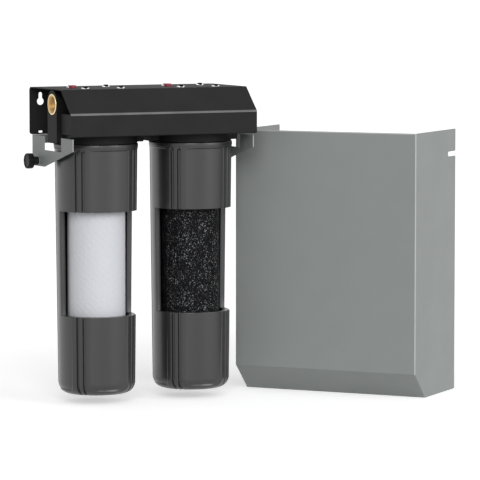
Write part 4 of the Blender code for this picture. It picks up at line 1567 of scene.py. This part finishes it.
@dataclass
class Cover:
    """The loose cover: front, two slotted sides and a slope at its foot, folded from one sheet."""

    width: float = 424.5 * MM
    depth: float = 232 * MM
    slope_run: float = 58.9 * MM
    slope_rise: float = 56.5 * MM
    slot_width: float = 10.6 * MM
    slot_depth: float = 44 * MM
    slot_below_top: float = 54 * MM
    slot_corner: float = 3.4 * MM
    mouth_corner: float = 2.4 * MM
    rear_corner: float = 2.5 * MM
    corner_points: int = 5
    turn_deg: float = 50.65
    sheet: float = 1.5 * MM
    bend: float = 1.9 * MM
    bend_rows: int = 6
    rim: float = 0.3 * MM
    # The height of the front's top band, which is painted paler as a highlight.
    bare_rim: float = 2.4 * MM

    def side_outline(self, height: float) -> list[tuple[float, float]]:
        """Draws one side from the front: points of (back, up), with the slot open at the back.

        Args:
            height: The cover's height.

        Returns:
            The outline, which ends with the fold along the front.
        """
        low, high = (height - self.slot_below_top + half * self.slot_width / 2 for half in (-1, 1))
        end, corner = self.depth - self.slot_depth, self.slot_corner
        mouth, rear = self.mouth_corner, self.rear_corner
        corners = (
            ((self.depth - rear, rear), rear, -90, 0),
            ((self.depth - mouth, low - mouth), mouth, 0, 90),
            ((end + corner, low + corner), corner, 270, 180),
            ((end + corner, high - corner), corner, 180, 90),
            ((self.depth - mouth, high + mouth), mouth, -90, 0),
            ((self.depth - rear, height - rear), rear, 0, 90),
        )
        outline = [(0, self.slope_rise), (self.slope_run, 0)]
        for middle, radius, start, stop in corners:
            outline += rounded(middle, radius, start, stop, self.corner_points)
        return [*outline, (0, height), (0, height - self.bare_rim)]

    def shell(self, height: float) -> bmesh.types.BMesh:
        """Makes the outer face of the sheet, square at the origin, with its bends rounded.

        Args:
            height: The cover's height.

        Returns:
            The open surface, whose front's top band and right front bend have the second material, a painted
            highlight.
        """
        shape = bmesh.new()
        outline = self.side_outline(height)
        left, right = ([shape.verts.new((x, *point)) for point in outline] for x in (0, self.width))
        shape.faces.new(left)
        shape.faces.new(reversed(right))
        shape.faces.new((left[-1], left[0], right[0], right[-1]))
        shape.faces.new((left[0], left[1], right[1], right[0]))
        rim = shape.faces.new((left[-2], left[-1], right[-1], right[-2]))
        # The front's top band is painted paler as a highlight.
        rim.material_index = 1
        bmesh.ops.recalc_face_normals(shape, faces=shape.faces)
        if rim.normal.y > 0:
            bmesh.ops.reverse_faces(shape, faces=shape.faces)
        flat = math.radians(FLAT_DEG)
        folds = [edge for edge in shape.edges if len(edge.link_faces) == 2 and edge.calc_face_angle() > flat]
        bends = {"segments": self.bend_rows, "profile": 0.5, "affect": "EDGES"}
        for face in bmesh.ops.bevel(shape, geom=folds, offset=self.bend, **bends)["faces"]:
            middle = face.calc_center_median()
            # The right front bend and the top band's bend are painted paler as a highlight.
            highlit = middle.x > self.width - self.bend and middle.y < self.bend
            face.material_index = int(highlit or middle.z > height - self.bare_rim and middle.y < self.bend)
        return shape

    def make(self) -> bpy.types.Object:
        """Folds the sheet, gives it its thickness, stands it in its place and shows it.

        Returns:
            The cover.
        """
        low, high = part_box("cover")
        shape = self.shell(high.z - low.z)
        turn = math.radians(self.turn_deg)
        corner = Matrix.Translation((low.x, low.y + self.width * math.sin(turn), low.z))
        bmesh.ops.transform(shape, matrix=corner @ Matrix.Rotation(-turn, 4, "Z"), verts=shape.verts)
        obj = from_shape("cover_sheet", shape, Finishes.COVER, Finishes.COVER_EDGE)
        wall = obj.modifiers.new("Sheet", "SOLIDIFY")
        wall.thickness = self.sheet
        wall.offset = -1
        wall.use_even_offset = True
        edges_softened(obj, self.rim)
        return shown(flats_kept(settled(obj)), Finishes.COVER, "cover", "cover")


# Studio


@dataclass
class Softbox:
    """A very large, far softbox, as a sun with a wide face."""

    name: str
    from_front_deg: float
    height_deg: float
    strength: float
    width_deg: float

    def make(self) -> None:
        """Hangs the softbox and aims it at the filter."""
        data = bpy.data.lights.new(self.name, "SUN")
        data.energy = self.strength
        data.angle = math.radians(self.width_deg)
        turn = (math.radians(90 - self.height_deg), 0, math.radians(self.from_front_deg))
        linked(self.name, data).rotation_euler = turn


@dataclass
class Studio:
    """The camera at the photograph's place, the pale floor, two softboxes and the white world."""

    camera: tuple[float, float, float] = (-2.9209, -6.6452, 0.3421)
    yaw_deg: float = 25.7608
    dip_deg: float = 4.9715
    lens: float = 250.37
    sensor: float = 36.0
    floor_size: float = 400.0
    floor_white: float = 0.93
    floor_roughness: float = 0.9
    floor_below_cover: float = 0.5 * MM
    # The floor's glow, which only the camera, gloss and glass see, and the world's light on the object.
    floor_lift: float = 0.45
    ambient: float = 0.36
    softboxes: tuple[Softbox, ...] = (
        Softbox("right softbox", 32.0, 18.0, 0.95, 34.0),
        Softbox("left softbox", -24.0, 24.0, 1.5, 34.0),
    )

    def make(self) -> None:
        """Sets up everything round the object."""
        self.make_camera()
        self.make_floor()
        self.make_world()
        for softbox in self.softboxes:
            softbox.make()
        bpy.context.scene.view_settings.view_transform = "Standard"

    def make_camera(self) -> None:
        """Places the camera."""
        data = bpy.data.cameras.new("camera")
        data.lens = self.lens
        data.sensor_width = self.sensor
        data.clip_end = self.floor_size * 2
        obj = linked("camera", data)
        obj.location = self.camera
        obj.rotation_euler = (math.radians(90 - self.dip_deg), 0, math.radians(-self.yaw_deg))
        bpy.context.scene.camera = obj

    @staticmethod
    def seen(tree: bpy.types.NodeTree, otherwise: float, value: float) -> Any:
        """Makes a level that the camera, gloss and glass see, and another for the light that falls.

        Args:
            tree: The tree that gets the nodes.
            otherwise: The level for all other rays.
            value: The level for camera, glossy and transmission rays.

        Returns:
            The socket with the level.
        """
        rays = add_node(tree, "ShaderNodeLightPath").outputs
        seen = rays["Is Camera Ray"]
        for name in ("Is Glossy Ray", "Is Transmission Ray"):
            seen = add_node(tree, MATH, {0: seen, 1: rays[name]}, operation="MAXIMUM").outputs[0]
        levels = {"Value": seen, "To Min": otherwise, "To Max": value}
        return add_node(tree, "ShaderNodeMapRange", levels).outputs[0]

    def make_floor(self) -> None:
        """Lays a pale floor under the cover, wide enough to meet the sky as one white."""
        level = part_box("cover")[0].z - self.floor_below_cover
        half = self.floor_size / 2
        mesh = bpy.data.meshes.new("floor")
        corners = ((-half, -half), (half, -half), (half, half), (-half, half))
        mesh.from_pydata([(x, y, level) for x, y in corners], [], [(0, 1, 2, 3)])
        paint = bpy.data.materials.new("floor paint")
        paint.use_nodes = True
        tree = paint.node_tree
        shader = tree.nodes["Principled BSDF"].inputs
        shader["Base Color"].default_value = (*[self.floor_white] * 3, 1.0)
        shader["Roughness"].default_value = self.floor_roughness
        shader["Emission Color"].default_value = (1.0, 1.0, 1.0, 1.0)
        tree.links.new(self.seen(tree, 0.0, self.floor_lift), shader["Emission Strength"])
        mesh.materials.append(paint)
        linked("floor", mesh)

    def make_world(self) -> None:
        """Makes a world that the camera and gloss see as white, and that lights evenly."""
        world = bpy.data.worlds.new("world")
        bpy.context.scene.world = world
        world.use_nodes = True
        tree = world.node_tree
        tree.nodes.clear()
        white = {"Color": (1, 1, 1, 1), "Strength": self.seen(tree, self.ambient, 1.0)}
        light = add_node(tree, "ShaderNodeBackground", white)
        add_node(tree, "ShaderNodeOutputWorld", {"Surface": light.outputs[0]})


@dataclass
class Bracket:
    """The folded steel parts and what is fixed to them."""

    # The heights of the hood's front fold, which is painted paler as a highlight.
    hood_worn: tuple[float, float] = (-5 * MM, 4 * MM)
    arm_bend: float = 1.7 * MM
    nipple_edge: float = 0.6 * MM

    def make(self) -> None:
        """Makes every piece of the bracket."""
        SheetPart("wall_plate", Finishes.HOOD, Finishes.HOOD).make()
        SheetPart("hood", Finishes.HOOD, Finishes.HOOD_FOLD, worn_bends=self.hood_worn).make()
        SheetPart("cover_bracket", Finishes.BRACKET, Finishes.BRACKET_EDGE, bend=self.arm_bend).make()
        Rivets().make()
        HeadScrews().make()
        MouldedPart("link_nipple", Finishes.BRASS, edge=self.nipple_edge).make()
        PortInsert("inlet_insert", Side.LEFT).make()
        PortInsert("outlet_insert", Side.RIGHT).make()


@dataclass
class FilterSide:
    """What each side of the filter has: panel, head, fittings, button, thumb screw and bowl."""

    side: Side
    head_edge: float = 1.0 * MM
    insert_edge: float = 0.5 * MM
    nut_edge: float = 0.5 * MM
    washer_edge: float = 0.4 * MM

    def make(self) -> None:
        """Makes every piece of the side, and dresses the bowl's seal as it is."""
        word = self.side.word
        SheetPart(f"{word}_end_panel", Finishes.HOOD, Finishes.HOOD).make()
        MouldedPart(f"{word}_head", Finishes.HEAD, edge=self.head_edge).make()
        MouldedPart(f"{word}_link_insert", Finishes.BRASS, edge=self.insert_edge).make()
        MouldedPart(f"{word}_weld_nut", Finishes.ZINC, edge=self.nut_edge).make()
        MouldedPart(f"{word}_knob_washer", Finishes.ZINC, f"{word}_washer", self.washer_edge).make()
        ReliefButton(self.side).make()
        Knob(self.side).make()
        Bowl(self.side).make()
        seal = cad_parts[f"{word}_bowl_seal"]
        seal.data.materials.clear()
        seal.data.materials.append(Finishes.RUBBER.material())


def main() -> None:
    """Builds the studio and every piece."""
    logging.basicConfig(level=logging.INFO, format="%(message)s")
    Studio().make()
    Bracket().make()
    for side in Side:
        FilterSide(side).make()
    Cartridge("sediment", Finishes.FIBRE, Finishes.CAP_WHITE, ridge=0.9 * MM, wave_mm=9.0).make()
    Cartridge("carbon", Finishes.CARBON, Finishes.HEAD, ridge=0.6 * MM, wave_mm=4.0).make()
    Cover().make()


if __name__ == "__main__":
    main()
